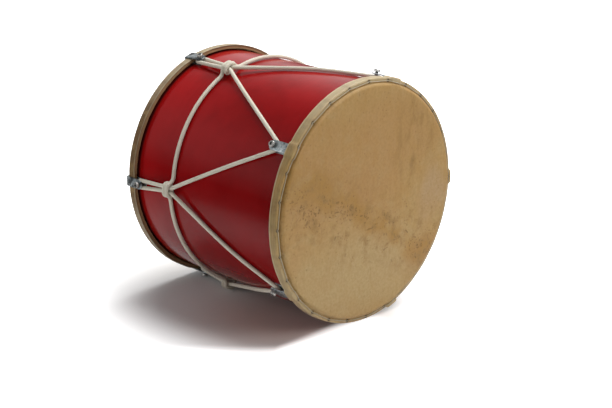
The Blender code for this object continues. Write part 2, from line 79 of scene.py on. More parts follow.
# Layers over the shell, as radii from the drum's axis
FIT_GAP = 0.0003
SHELL_RADIUS = SHELL_FLAT_RADIUS + 0.0001
SHELL_WALL = 0.0079
EDGE = 0.0065
SKIN = 0.0012
SKIN_OVER_EDGE = EDGE + FIT_GAP + SKIN
EDGE_CENTRE_RADIUS = SHELL_FLAT_RADIUS - EDGE
STRAP = 0.0017
INNER_LEG = SHELL_FLAT_RADIUS + FIT_GAP
HOOP_OUTER = INNER_LEG + STRAP + FIT_GAP + 0.0042
COLLAR_RADIUS = HOOP_OUTER + FIT_GAP + SKIN
ROPE_PLAY = 0.0005
ROPE_RADIUS = 0.00275
EYE_LEG = INNER_LEG + STRAP + 2 * (ROPE_RADIUS + 0.0004)
BOLT_FOOT = INNER_LEG + FIT_GAP
BOLT_UNDERHEAD = EYE_LEG + STRAP + 0.0024
BOLT_TOP = BOLT_UNDERHEAD + 0.0032
ROPE_AT_BOLT = INNER_LEG + STRAP + ROPE_RADIUS + 0.0004
ROPE_ON_SHELL = 0.17063
WRAP_RADIUS = 2 * ROPE_RADIUS + ROPE_PLAY
ROPE_IN_HITCH = ROPE_ON_SHELL + WRAP_RADIUS

# Depths behind a playing face
RIM_DROP = 0.005
COLLAR_DEPTH = 0.018
COLLAR_ROUNDING = 0.0018
HOOP_DEPTH = RIM_DROP + SKIN + FIT_GAP
STEP_START = COLLAR_DEPTH + 0.0015
STEP_END = STEP_START + 0.0055
EYE_DEPTH = {"front": COLLAR_DEPTH + 0.024, "rear": COLLAR_DEPTH + 0.012}

# Hooks, bolts and hitches
STRAP_WIDTH = 0.0145
BOLT_RADIUS = 0.0025
BOLT_HOLE = BOLT_RADIUS + FIT_GAP
BOLT_HEAD_RADIUS = 0.0045
SCREW_GROOVE = 0.00032
SOCKET_RADIUS = 0.0027
BULGE = STRAP + FIT_GAP
HOOKS = 5
HOOK_PITCH = 360 / HOOKS
END_SIGN = {"front": 1, "rear": -1}
HOOK_ANGLES = {"front": [-18, 54, 126, 198, 270], "rear": [18, 90, 162, 234, 306]}
HITCH_ANGLES = [20.5, 87.5, 157.5, 236, 305]
HITCH_X = [-0.0605, -0.063, -0.062, -0.061, -0.062]
GIRDLE_X = -0.062
PAIR_OFFSET = ROPE_RADIUS + ROPE_PLAY / 2
HITCH_HALF = 2 * ROPE_RADIUS + 1.5 * ROPE_PLAY
BOLT_TURN_RADIUS = BOLT_HOLE + ROPE_RADIUS
HITCH_RAMP = 0.0190
HITCH_RAMP_RISE = 0.0042
ROPE_YARNS = 6
YARN_CROWN = 0.6
YARN_WEAVE = 0.4
STITCHES = 28
THREAD_LINE_RADIUS = COLLAR_RADIUS - 0.0036
TURNED_STEPS = 560


def size(name, description, default):
    """Length that a user may change, in metres."""
    return bpy.props.FloatProperty(name=name, description=description, default=default,
                                   min=0, precision=5, subtype='DISTANCE', unit='LENGTH')


def tint(name, description, default):
    """Colour that a user may change, in linear light."""
    return bpy.props.FloatVectorProperty(name=name, description=description, default=default,
                                         size=3, min=0, max=1, subtype='COLOR')


def power(name, description, default):
    """Power of a light that a user may change, in watts."""
    return bpy.props.FloatProperty(name=name, description=description, default=default,
                                   min=0, unit='POWER')


class DrumSizes(bpy.types.PropertyGroup):
    """Sizes of the drum's dressed pieces"""
    rope_core: size("Rope core", "Radius of the rope at the gaps between its yarns", 0.00262)
    yarn_rise: size("Yarn rise", "Height of a yarn's crown above the rope's gaps", 0.00026)
    yarn_lay: size("Yarn lay", "Rope length over which a yarn moves one yarn aside", 0.0036)
    rope_step: size("Rope step", "Distance between rings of the rope's mesh", 0.0008)
    thread_radius: size("Thread radius", "Radius of the lacing thread", 0.0006)
    pucker: size("Pucker", "Depth that a stitch pulls into the skin", 0.0008)
    fold: size("Fold", "Height of the folds in the skins' laps", 0.00034)
    edge_wander: size("Edge wander", "How far the cut edge of a lap strays", 0.0007)
    edge_break: size("Edge break", "Rounding of the edges of the steel straps", 0.00028)
    thread_pitch: size("Screw pitch", "Distance between ridges of the bolts' screw threads", 0.0008)
    socket_depth: size("Socket depth", "Depth of the hexagon socket in a bolt", 0.0019)


class DrumColours(bpy.types.PropertyGroup):
    """Colours of the drum's dressed pieces"""
    lacquer: tint("Lacquer", "Red lacquer of the shell", (0.322, 0.0040, 0.0056))
    lacquer_deep: tint("Deep lacquer", "Thicker, darker lacquer", (0.240, 0.0018, 0.0026))
    # Painted light: the lacquer turns brighter towards the rear
    lacquer_painted_light: tint("Thin lacquer", "Thinner, brighter lacquer towards the rear",
                       (0.520, 0.0070, 0.0090))
    # Painted shade: darker lacquer low down, towards the front and next to the hoops
    lacquer_painted_shade: tint("Gathered lacquer", "Dark lacquer low down and next to the hoops",
                       (0.165, 0.0008, 0.0012))
    skin: tint("Skin", "Rawhide away from stains", (0.394, 0.242, 0.079))
    skin_pink: tint("Warm skin", "Warmer, pinker parts of the rawhide", (0.373, 0.205, 0.066))
    skin_pale: tint("Pale skin", "Paler, thicker parts of the rawhide", (0.400, 0.290, 0.128))
    skin_gold: tint("Golden skin", "Golden parts of the rawhide", (0.318, 0.166, 0.030))
    skin_grain: tint("Grain of the skin", "Darker grain of the rawhide", (0.240, 0.135, 0.036))
    # Stains and hair roots, and painted shade in the laps' creases and on the rear lap
    skin_stain_and_shade: tint("Stain", "Brown stains and hair roots", (0.130, 0.066, 0.018))
    skin_rust: tint("Rusty stain", "Orange stain of the rawhide", (0.300, 0.138, 0.030))
    skin_grey: tint("Grey skin", "Greyish, thinner part of the rawhide", (0.385, 0.260, 0.135))
    # Pale cut edge with a painted highlight, and painted light on the laps' tops and bottoms
    skin_edge_and_painted_light: tint("Cut edge", "Pale cut edge of the rawhide", (0.520, 0.440, 0.290))
    skin_lap: tint("Lap", "Rawhide wrapped round the hoop", (0.332, 0.238, 0.092))
    wood: tint("Wood", "Bare wood of the hoops and rings", (0.420, 0.270, 0.140))
    wood_grain: tint("Grain", "Darker grain of the wood", (0.230, 0.125, 0.055))
    zinc: tint("Zinc", "Zinc plating of the straps", (0.190, 0.240, 0.254))
    zinc_dull: tint("Dull zinc", "Dull patches of the plating", (0.095, 0.120, 0.127))
    bolt: tint("Bolt steel", "Steel of the bolts", (0.130, 0.126, 0.120))
    rope: tint("Rope", "Off-white yarn of rope and girdle", (0.710, 0.675, 0.570))
    # Dirt on the yarn, and painted shade in the gaps between the yarns
    rope_grime_and_gap_shade: tint("Rope grime", "Handled, darker yarn", (0.530, 0.480, 0.372))
    thread: tint("Thread", "Lacing thread", (0.360, 0.295, 0.180))
    floor: tint("Floor", "Studio floor", (0.820, 0.820, 0.820))
    # Painted red bounce light on the floor under the shell
    floor_painted_bounce: tint("Red glow", "Floor close under the red shell", (0.600, 0.450, 0.410))


class DrumStage(bpy.types.PropertyGroup):
    """Camera and light of the studio"""
    camera_place: bpy.props.FloatVectorProperty(
        name="Camera place", description="Where the camera stands", size=3,
        default=(1.4532, -1.3885, 0.8005), subtype='TRANSLATION', unit='LENGTH')
    camera_turn: bpy.props.FloatVectorProperty(
        name="Camera turn", description="How the camera is turned", size=3,
        default=(math.radians(71.694), 0, math.radians(45.624)), subtype='EULER',
        unit='ROTATION')
    lens: bpy.props.FloatProperty(
        name="Lens", description="Focal length in millimetres on a 36 mm sensor",
        default=84.61, min=1, unit='CAMERA')
    key_power: power("Key light", "Power of the large overhead light", 69)
    fill_power: power("Fill light", "Power of the light beside the camera", 25)
    side_power: power("Side light", "Power of the weak light beside the shell", 5.2)
    room_light: bpy.props.FloatProperty(
        name="Room light", description="Light that the pale room gives from all sides",
        default=0.184, min=0)


def at(x, radius, angle):
    """Place a point from its place along the drum, its radius and its angle from the top."""
    turn = math.radians(angle)
    return Vector((x, -math.sin(turn) * radius, AXIS_HEIGHT + math.cos(turn) * radius))


def beside(x, across, radius, angle):
    """Place a point beside a radial line, with across counted along the drum's surface."""
    return at(x, radius, angle + math.degrees(across / ROPE_IN_HITCH))


def depth_to_x(end, depth):
    """Place along the drum of a depth behind one playing face."""
    return END_SIGN[end] * (HALF_LENGTH - depth)


def eased(value, low, high):
    """Smooth step from 0 at low to 1 at high."""
    share = min(1, max(0, (value - low) / (high - low)))
    return share * share * (3 - 2 * share)


def angle_apart(first, second):
    """Difference of two angles in degrees, from -180 to 180."""
    return (first - second + 180) % 360 - 180


# Modelling steps


def object_mode():
    """Leave edit mode and deselect everything."""
    if bpy.context.object and bpy.context.object.mode != 'OBJECT':
        bpy.ops.object.mode_set(mode='OBJECT')
    bpy.ops.object.select_all(action='DESELECT')


def choose(piece):
    """Make one piece the only selected and active one."""
    object_mode()
    piece.select_set(True)
    bpy.context.view_layer.objects.active = piece


def drawn_line(name, points):
    """Draw a line by shrinking a plane to one point and extruding it from place to place."""
    object_mode()
    bpy.ops.mesh.primitive_plane_add(size=0.01, location=(0, 0, 0))
    piece = bpy.context.object
    piece.name = name
    piece.data.name = name
    bpy.ops.object.mode_set(mode='EDIT')
    bpy.ops.mesh.select_all(action='SELECT')
    bpy.ops.mesh.merge(type='CENTER')
    bpy.ops.transform.translate(value=points[0])
    for here, following in zip(points, points[1:]):
        step = tuple(Vector(following) - Vector(here))
        bpy.ops.mesh.extrude_vertices_move(TRANSFORM_OT_translate={"value": step})
    bpy.ops.mesh.select_all(action='SELECT')
    return piece


def turned(name, points, steps, centre, axis):
    """Turn a drawn section round an axis, as on a lathe, and close its seam and poles."""
    piece = drawn_line(name, points)
    bpy.ops.mesh.spin(steps=steps, angle=2 * math.pi, center=centre, axis=axis)
    bpy.ops.mesh.select_all(action='SELECT')
    bpy.ops.mesh.remove_doubles(threshold=2e-6)
    bpy.ops.mesh.normals_make_consistent(inside=False)
    bpy.ops.object.mode_set(mode='OBJECT')
    return piece


def turned_round_drum(name, section, steps):
    """Turn a section of (x, radius) points round the drum's own axis."""
    points = [(x, 0, AXIS_HEIGHT + radius) for x, radius in section]
    return turned(name, points, steps, (0, 0, AXIS_HEIGHT), (1, 0, 0))


def apply_modifier(piece, kind, **settings):
    """Add one modifier, set it and apply it."""
    choose(piece)
    modifier = piece.modifiers.new(kind.lower(), kind)
    for name, value in settings.items():
        setattr(modifier, name, value)
    bpy.ops.object.modifier_apply(modifier=modifier.name)


def cut(piece, cutter, operation='DIFFERENCE'):
    """Cut a piece with another one, which is then removed."""
    apply_modifier(piece, 'BOOLEAN', object=cutter, operation=operation, solver='EXACT')
    bpy.data.objects.remove(cutter)


def smooth(piece, degrees=32):
    """Shade a piece smooth, apart from edges sharper than an angle."""
    choose(piece)
    bpy.ops.object.shade_smooth_by_angle(angle=math.radians(degrees))


def reshape(piece, rule):
    """Move each point of a piece to where a rule puts it."""
    for vert in piece.data.vertices:
        vert.co = rule(vert.co)
    piece.data.update()


def dress(piece, material, body, slot, *nodes):
    """Give a piece its finish and its CAD body, and hide the nodes it stands for; slot is not used.
    """
    piece.data.materials.clear()
    piece.data.materials.append(material)
    if body:
        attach(piece, body)
    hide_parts(*nodes)


def polar(place):
    """Radius and angle from the top of a point."""
    height = place.z - AXIS_HEIGHT
    return math.hypot(place.y, height), math.degrees(math.atan2(-place.y, height))


# Material steps


def is_socket(value):
    """Whether a value comes from a node."""
    return isinstance(value, bpy.types.NodeSocket)


def put(kind, inputs, tree=None, **settings):
    """Add a node to the tree that its inputs come from, set it, and fill or join them."""
    inputs = dict(inputs)
    tree = tree or next(value.id_data for value in inputs.values() if is_socket(value))
    node = tree.nodes.new(kind)
    for name, value in settings.items():
        setattr(node, name, value)
    for key, value in inputs.items():
        if is_socket(value):
            tree.links.new(value, node.inputs[key])
        else:
            node.inputs[key].default_value = value
    return node


def calc(operation, *values):
    """Add a Math node and give its result."""
    return put('ShaderNodeMath', enumerate(values), operation=operation).outputs[0]


def chain(operation, first, *others):
    """Carry a Math operation on through two or more values."""
    for other in others:
        first = calc(operation, first, other)
    return first


def times(*values):
    """Product of two or more values."""
    return chain('MULTIPLY', *values)


def plus(*values):
    """Sum of two or more values."""
    return chain('ADD', *values)


def larger(*values):
    """Largest of two or more values."""
    return chain('MAXIMUM', *values)


def minus(first, second):
    """Difference of two values."""
    return calc('SUBTRACT', first, second)


def off(value, level):
    """How far a value is from a level, on either side."""
    return calc('ABSOLUTE', minus(value, level))


def slant(one, other):
    """Length of a line from its parts in two square directions."""
    return calc('SQRT', plus(times(one, one), times(other, other)))


def ramp(value, low, high, first=0.0, last=1.0):
    """Smooth step of a value from one level to another."""
    return put('ShaderNodeMapRange', {0: value, 1: low, 2: high, 3: first, 4: last},
               interpolation_type='SMOOTHSTEP').outputs[0]


def vector_calc(operation, *values):
    """Add a Vector Math node and give its result."""
    node = put('ShaderNodeVectorMath', enumerate(values), operation=operation)
    return node.outputs["Value" if operation in ('LENGTH', 'DISTANCE') else "Vector"]


def parts_of(vector):
    """The three parts of a vector."""
    return put('ShaderNodeSeparateXYZ', {0: vector}).outputs


def joined(*values):
    """Vector of three values."""
    return put('ShaderNodeCombineXYZ', enumerate(values)).outputs[0]


def stretched(vector, scale):
    """Vector and scale of a pattern whose scale may be given for each direction."""
    if isinstance(scale, tuple):
        return vector_calc('MULTIPLY', vector, scale), 1
    return vector, scale


def clouds(vector, scale, detail, roughness=0.5, output=0):
    """Noise texture's value, or with output 1 its colour."""
    vector, scale = stretched(vector, scale)
    return put('ShaderNodeTexNoise', {
        "Vector": vector, "Scale": scale, "Detail": detail,
        "Roughness": roughness}).outputs[output]


def tinted(colour, tone, mask, share=1):
    """Lay a tone over a colour by a mask, at a share of its strength."""
    if share != 1:
        mask = times(mask, share)
    both = [value if is_socket(value) else (*value, 1) for value in (colour, tone)]
    return put('ShaderNodeMix', {0: mask, 6: both[0], 7: both[1]},
               data_type='RGBA').outputs[2]


def layered(colour, *layers):
    """Lay tones over a colour in their order, each given as tone, mask and share."""
    for layer in layers:
        colour = tinted(colour, *layer)
    return colour


def relief(height, distance, normal=None):
    """Bump of a height map, over another relief where one is given."""
    inputs = {"Height": height, "Distance": distance, "Strength": 1.0}
    if normal:
        inputs["Normal"] = normal
    return put('ShaderNodeBump', inputs).outputs[0]


# Effects that several finishes share


def new_group(name, inputs, outputs):
    """Start a shared node group with named inputs and outputs."""
    tree = bpy.data.node_groups.new(name, 'ShaderNodeTree')
    for way, sockets in (('INPUT', inputs), ('OUTPUT', outputs)):
        for label, kind in sockets.items():
            tree.interface.new_socket(label, in_out=way, socket_type='NodeSocket' + kind)
    return tree, tree.nodes.new('NodeGroupInput').outputs


def finish_group(tree, results):
    """Join a group's results to its outputs."""
    put('NodeGroupOutput', results)
    return tree


def mottling_group():
    """Uneven cloudiness between two levels."""
    tree, given = new_group(
        "Mottling", {"Vector": "Vector", "Scale": "Float", "Detail": "Float", "Low": "Float",
                     "High": "Float"}, {"Value": "Float"})
    cloud = clouds(given["Vector"], given["Scale"], given["Detail"], 0.6)
    return finish_group(tree, {"Value": ramp(cloud, given["Low"], given["High"])})


def specks_group():
    """Scattered small dots, of which only a share shows."""
    tree, given = new_group(
        "Specks", {"Vector": "Vector", "Scale": "Float", "Size": "Float", "Share": "Float"},
        {"Mask": "Float"})
    cells = put('ShaderNodeTexVoronoi',
                {"Vector": given["Vector"], "Scale": given["Scale"]}).outputs
    chance = put('ShaderNodeSeparateColor', {0: cells["Color"]}).outputs
    own_size = times(given["Size"], plus(chance[1], 0.35))
    dot = ramp(cells["Distance"], own_size, times(own_size, 0.45))
    kept = calc('LESS_THAN', chance[0], given["Share"])
    return finish_group(tree, {"Mask": times(dot, kept)})


def round_drum_group():
    """Place on the drum: radius, turn from the top, depth, and a vector drawn out round it."""
    tree, given = new_group(
        "Round the drum", {"Vector": "Vector"},
        {"Radius": "Float", "Turns": "Float", "Depth": "Float", "Along": "Vector"})
    x, y, z = parts_of(given["Vector"])
    height = minus(z, AXIS_HEIGHT)
    radius = slant(y, height)
    angle = calc('ARCTAN2', times(y, -1.0), height)
    shrink = calc('DIVIDE', 0.03, larger(radius, 0.001))
    return finish_group(tree, {
        "Radius": radius, "Turns": calc('DIVIDE', angle, 2 * math.pi),
        "Depth": minus(HALF_LENGTH, calc('ABSOLUTE', x)),
        "Along": joined(plus(x, radius), times(y, shrink), times(height, shrink))})


def worn_edges_group():
    """Bright rubbed edges, broken up by noise."""
    tree, given = new_group("Worn edges", {"Vector": "Vector", "Scale": "Float"},
                            {"Mask": "Float"})
    point = tree.nodes.new('ShaderNodeNewGeometry').outputs["Pointiness"]
    patchy = ramp(clouds(given["Vector"], given["Scale"], 4), 0.3, 0.6)
    return finish_group(tree, {"Mask": times(ramp(point, 0.505, 0.56), patchy)})


def plait_group():
    """Plaited yarns on a rope's own map, which counts its length and the way round it."""
    tree, given = new_group(
        "Plaited yarn", {"Map": "Vector", "Yarns": "Float", "Lay": "Float"},
        {"Height": "Float", "Gap": "Float", "Fibre": "Float"})
    length, turn, _ = parts_of(given["Map"])
    lengthwise = calc('DIVIDE', length, given["Lay"])
    around = times(turn, given["Yarns"])
    lanes = [calc(way, around, lengthwise) for way in ('ADD', 'SUBTRACT')]
    waves = [calc('SINE', times(lane, math.pi)) for lane in lanes]
    crowns = [calc('ABSOLUTE', wave) for wave in waves]
    over = times(*waves, YARN_WEAVE)
    first = times(crowns[0], plus(YARN_CROWN, over))
    second = times(crowns[1], minus(YARN_CROWN, over))
    height = larger(first, second)
    fibres = [clouds(joined(times(lane, 7.0), times(other, 0.9), 0.0), 1, 3)
              for lane, other in (lanes, reversed(lanes))]
    fibre = put('ShaderNodeMix', {0: calc('GREATER_THAN', first, second), 2: fibres[1],
                                  3: fibres[0]}, data_type='FLOAT').outputs[0]
    return finish_group(tree, {"Height": height, "Gap": ramp(height, 0.62, 0.30),
                               "Fibre": fibre})


GROUP_MAKERS = {"Mottling": mottling_group, "Specks": specks_group,
                "Round the drum": round_drum_group, "Worn edges": worn_edges_group,
                "Plaited yarn": plait_group}


def shared(name, **inputs):
    """Place a shared group in a material and give its outputs; the group is made once."""
    group = bpy.data.node_groups.get(name) or GROUP_MAKERS[name]()
    return put('ShaderNodeGroup', {key.title(): value for key, value in inputs.items()},
               node_tree=group).outputs


def mottled(vector, scale, detail, low, high):
    """Cloudiness from the shared group."""
    vector, scale = stretched(vector, scale)
    return shared("Mottling", vector=vector, scale=scale, detail=detail, low=low,
                  high=high)["Value"]


def specks(vector, scale, dot, share):
    """Scattered dots from the shared group."""
    vector, scale = stretched(vector, scale)
    return shared("Specks", vector=vector, scale=scale, size=dot, share=share)["Mask"]


# Finishes

# Tones that need no setting
LAP_SHADE = (0.022, 0.004, 0.004)
DUST = (0.55, 0.30, 0.28)
WOOD_PORE = (0.08, 0.04, 0.02)
STITCH_HOLE_SHADE = (0.055, 0.036, 0.018)
BARE_ZINC = (0.72, 0.74, 0.74)
ZINC_SPOT = (0.16, 0.15, 0.14)
ZINC_SMUDGE = (0.035, 0.036, 0.035)
TARNISH = (0.075, 0.068, 0.058)
BARE_STEEL = (0.66, 0.65, 0.62)


def new_finish(name, constants):
    """Start a material whose shader has constant values on its own sockets."""
    material = bpy.data.materials.new(name)
    material.use_nodes = True
    shader = material.node_tree.nodes["Principled BSDF"]
    for label, value in constants.items():
        shader.inputs[label].default_value = value
    place = material.node_tree.nodes.new('ShaderNodeTexCoord').outputs
    return material, shader, place


def join(shader, **results):
    """Join results to the shader's sockets, named in lower case."""
    for name, value in results.items():
        shader.id_data.links.new(value, shader.inputs[name.replace("_", " ").title()])


def lacquer_finish(colours):
    """Glossy red lacquer with cloudiness, brush marks, dust, a girdle-rubbed band, painted light
    and shade.
    """
    material, shader, place = new_finish("red_lacquer", {
        "Specular IOR Level": 0.09, "Coat Weight": 0.05, "Coat Roughness": 0.10,
        "Coat IOR": 1.4})
    where = place["Object"]
    drum = shared("Round the drum", vector=where)
    x, _, z = parts_of(where)
    brushed = mottled(drum["Along"], (330, 9, 9), 3, 0.42, 0.75)
    dust = specks(where, 420, 0.16, 0.05)
    low_front_shade = minus(times(x, 0.6), z)
    colour = layered(
        colours.lacquer,
        (colours.lacquer_deep, mottled(where, 11, 3, 0.35, 0.68)),
        (colours.lacquer_deep, brushed, 0.25),
        # Painted light: brighter towards the rear
        (colours.lacquer_painted_light, ramp(x, -0.07, -0.13), 0.35),
        # Painted shade: darker low down and towards the front
        (colours.lacquer_painted_shade, ramp(low_front_shade, -0.30, -0.12), 0.62),
        # Painted shade next to the hoops
        (colours.lacquer_painted_shade, ramp(drum["Depth"], 0.034, 0.019), 0.60),
        (LAP_SHADE, ramp(drum["Depth"], 0.0230, 0.0185), 0.85),
        (DUST, dust, 0.10))
    girdle_band = ramp(off(x, GIRDLE_X), 0.008, 0.001)
    rubbed = times(girdle_band, mottled(where, 140, 4, 0.40, 0.75))
    scuffs = mottled(where, 14, 2, 0.40, 0.80)
    rough = plus(times(rubbed, 0.16), times(scuffs, 0.05), 0.15)
    marks = plus(times(clouds(where, 190, 2), 0.5), times(brushed, 0.35), times(dust, 0.8))
    join(shader, base_color=colour, roughness=rough, normal=relief(marks, 0.00010))
    return material


def wood_finish(colours):
    """Bare bent wood whose grain runs round the ring."""
    material, shader, place = new_finish("bare_wood", {"Specular IOR Level": 0.3})
    along = shared("Round the drum", vector=place["Object"])["Along"]
    grain = mottled(along, (900, 40, 40), 5, 0.35, 0.70)
    pores = specks(along, (1400, 120, 120), 0.30, 0.35)
    colour = layered(
        colours.wood, (colours.wood_grain, grain),
        (colours.wood_grain, mottled(along, (160, 12, 12), 3, 0.30, 0.75), 0.4),
        (WOOD_PORE, pores, 0.6))
    height = minus(times(grain, -0.6), pores)
    join(shader, base_color=colour, roughness=ramp(grain, 0.0, 1.0, 0.62, 0.78),
         normal=relief(height, 0.00015))
    return material


# Soft patches of the rawhide: its colour, middle across and up, reach across and up, share
SKIN_PATCHES = (
    ("skin_pink", (0.040, 0.090), (0.130, 0.075), 0.70),
    ("skin_gold", (-0.115, 0.040), (0.070, 0.030), 0.75),
    ("skin_rust", (0.105, -0.096), (0.045, 0.020), 0.80),
    ("skin_grey", (0.130, -0.012), (0.034, 0.052), 0.70),
    ("skin_pale", (-0.030, -0.108), (0.165, 0.088), 0.75))
SMUDGE_MIDDLE = (0.090, 0.075)
SMUDGE_REACH = (0.045, 0.075)
# Lines across the playing face: how far they fall from one side to the other, and their level
OCHRE_LINE = (0.645, -0.029)
ROOTS_LINE = (0.415, -0.036)


def patch(spot, middle, reach):
    """Soft mask over a patch of the skin, from its middle and its reach across and up."""
    moved = vector_calc('ADD', spot, (0, -middle[0], -middle[1]))
    shrunk = vector_calc('MULTIPLY', moved, (0, 1 / reach[0], 1 / reach[1]))
    return ramp(vector_calc('LENGTH', shrunk), 1.25, 0.25)


def stripe(spot, line, outer, inner):
    """Soft mask along a line that falls from one side of the skin to the other."""
    fall, level = line
    _, across, up = parts_of(spot)
    height = plus(up, times(across, fall))
    return ramp(off(height, level), outer, inner)


def skin_places(where, turn):
    """Two vectors over the playing face: one turned with its skin, one that also wanders."""
    centred = vector_calc('ADD', where, (0, 0, -AXIS_HEIGHT))
    flat = put('ShaderNodeMapping', {"Vector": centred, "Rotation": (turn, 0, 0)},
               vector_type='POINT').outputs[0]
    wander = vector_calc('SUBTRACT', clouds(flat, 16, 4, output=1), (0.5, 0.5, 0.5))
    spot = vector_calc('MULTIPLY_ADD', wander, (0.07, 0.07, 0.07), flat)
    return flat, spot


def skin_tones(flat, spot, colours):
    """Broad tones and grain of the rawhide."""
    patches = [(getattr(colours, tone), patch(spot, middle, reach), share)
               for tone, middle, reach, share in SKIN_PATCHES]
    return layered(
        colours.skin,
        (colours.skin_pink, mottled(flat, 9, 5, 0.35, 0.70)),
        (colours.skin_gold, mottled(flat, (1, 120, 9), 4, 0.40, 0.72), 0.30),
        (colours.skin_pale, mottled(spot, 30, 6, 0.48, 0.72), 0.45),
        *patches,
        (colours.skin_grain, mottled(flat, 230, 5, 0.36, 0.66), 0.30))


def skin_stains(colour, flat, spot, colours):
    """Colour with an ochre band, smudges and hair roots across the middle, and their dots."""
    ochre = stripe(spot, OCHRE_LINE, 0.036, 0.004)
    band = stripe(spot, ROOTS_LINE, 0.042, 0.006)
    near_band = stripe(spot, ROOTS_LINE, 0.085, 0.010)
    smudge = patch(spot, SMUDGE_MIDDLE, SMUDGE_REACH)
    uneven = mottled(flat, 20, 4, 0.30, 0.60)
    rubbed = mottled(flat, (1, 75, 26), 5, 0.44, 0.68)
    smears = mottled(flat, 70, 6, 0.46, 0.70)
    clusters = mottled(flat, 34, 5, 0.42, 0.56)
    thinned = mottled(flat, 24, 4, 0.36, 0.70)
    dots = larger(times(specks(spot, 235, 0.48, 0.76), band, clusters, 0.76),
                  times(specks(spot, 150, 0.32, 0.30), near_band, 0.60),
                  times(specks(flat, 260, 0.44, 0.36), thinned, 0.42))
    colour = layered(
        colour,
        (colours.skin_gold, times(ochre, uneven), 0.90),
        (colours.skin_grain, times(smudge, rubbed), 0.80),
        (colours.skin_grain, times(near_band, smears), 0.85),
        (colours.skin_stain_and_shade, dots),
        (colours.skin_gold, mottled(flat, 34, 8, 0.50, 0.54), 0.10))
    return colour, dots


def lap_look(colour, where, drum, grime_and_shade, colours):
    """Colour of the creased, dirty lap with painted light and shade, its pale cut edge, and
    creases.
    """
    lap = ramp(drum["Radius"], 0.1690, 0.1742)
    lap_tone = tinted(colours.skin_lap, colours.skin, mottled(where, 34, 4, 0.35, 0.70))
    strays = times(minus(clouds(where, 38, 3), 0.5), 0.010)
    level = plus(drum["Depth"], strays)
    folds = [times(ramp(off(level, depth), 0.0013, 0.0003), 0.45)
             for depth in (0.0095, 0.0138)]
    wrinkled = mottled(drum["Along"], (520, 30, 30), 4, 0.50, 0.72)
    creases = times(larger(wrinkled, *folds), lap)
    dirt = mottled(where, 60, 5, 0.60 - 0.25 * grime_and_shade, 0.80 - 0.25 * grime_and_shade)
    height = parts_of(where)[2]
    painted_top_and_bottom_light = larger(ramp(height, 0.26, 0.345, 0, 0.55),
                      ramp(height, 0.165, 0.095, 0, 0.34))
    pale_cut_edge_and_highlight = ramp(drum["Depth"], 0.0154, 0.0166)
    colour = layered(
        colour,
        (lap_tone, lap, 0.75),
        # Painted shade: darkens the whole rear lap
        (colours.skin_stain_and_shade, lap, 1.1 * max(0, grime_and_shade - 0.5)),
        # Painted shade in the creases
        (colours.skin_stain_and_shade, creases, 0.38),
        (colours.skin_stain_and_shade, times(dirt, lap), grime_and_shade),
        # Painted light: paler on the top and on the bottom of the lap
        (colours.skin_edge_and_painted_light, times(lap, painted_top_and_bottom_light)),
        # Pale cut edge, with a painted highlight along it
        (colours.skin_edge_and_painted_light, pale_cut_edge_and_highlight, 1 - 0.75 * grime_and_shade))
    return colour, creases


def off_stitch(drum):
    """Distance from the nearest hole that the thread goes through."""
    turns = plus(times(drum["Turns"], STITCHES), 0.5)
    share = off(calc('FRACT', turns), 0.5)
    return slant(times(share, 2 * math.pi * THREAD_LINE_RADIUS / STITCHES),
                 minus(drum["Radius"], THREAD_LINE_RADIUS))


def skin_finish(name, colours, turn, grime_and_shade):
    """Rawhide: clouds of tan, hair-root band, stains, creased lap, stitch holes, painted light and
    shade.
    """
    material, shader, place = new_finish(name, {
        "Specular IOR Level": 0.35, "Subsurface Weight": 0.06, "Subsurface Scale": 0.004,
        "Subsurface Radius": (1.0, 0.5, 0.25), "Sheen Weight": 0.05})
    where = place["Object"]
    drum = shared("Round the drum", vector=where)
    flat, spot = skin_places(where, turn)
    colour = skin_tones(flat, spot, colours)
    colour, dots = skin_stains(colour, flat, spot, colours)
    colour, creases = lap_look(colour, where, drum, grime_and_shade, colours)
    away = off_stitch(drum)
    hole = ramp(away, 0.0034, 0.0016)
    # Painted shade in the stitch holes, each with a darker ring round it
    colour = layered(colour,
                     (colours.skin_stain_and_shade, ramp(away, 0.0070, 0.0015), 0.30),
                     (STITCH_HOLE_SHADE, hole, 0.85))
    pores = relief(minus(clouds(where, 850, 3), dots), 0.00012)
    wrinkles = clouds(where, 75, 5, 0.62)
    height = minus(minus(wrinkles, times(creases, 0.7)), hole)
    join(shader, base_color=colour, normal=relief(height, 0.00050, pores),
         roughness=plus(times(wrinkles, 0.22), times(dots, 0.12), 0.42))
    return material


def zinc_finish(colours):
    """Zinc-plated strap with dull patches, rubbed edges, fine scratches and rear smudges."""
    material, shader, place = new_finish("zinc_strap", {"Specular IOR Level": 0.5})
    where = place["Object"]
    dull = mottled(where, 130, 5, 0.36, 0.66)
    spots = specks(where, 700, 0.40, 0.14)
    to_rear = ramp(parts_of(where)[0], 0.05, -0.05, 0.15, 0.90)
    smudged = times(mottled(where, 90, 4, 0.43, 0.57), to_rear)
    colour = layered(
        colours.zinc, (colours.zinc_dull, dull),
        (BARE_ZINC, shared("Worn edges", vector=where, scale=400)["Mask"], 0.7),
        (ZINC_SPOT, spots, 0.5), (ZINC_SMUDGE, smudged))
    scratches = clouds(where, (260, 2600, 2600), 2)
    rough = plus(times(larger(dull, smudged), 0.16), times(scratches, 0.14), 0.26)
    join(shader, base_color=colour, roughness=rough,
         metallic=ramp(spots, 0.0, 1.0, 0.92, 0.35),
         normal=relief(minus(times(scratches, 0.5), spots), 0.00004))
    return material


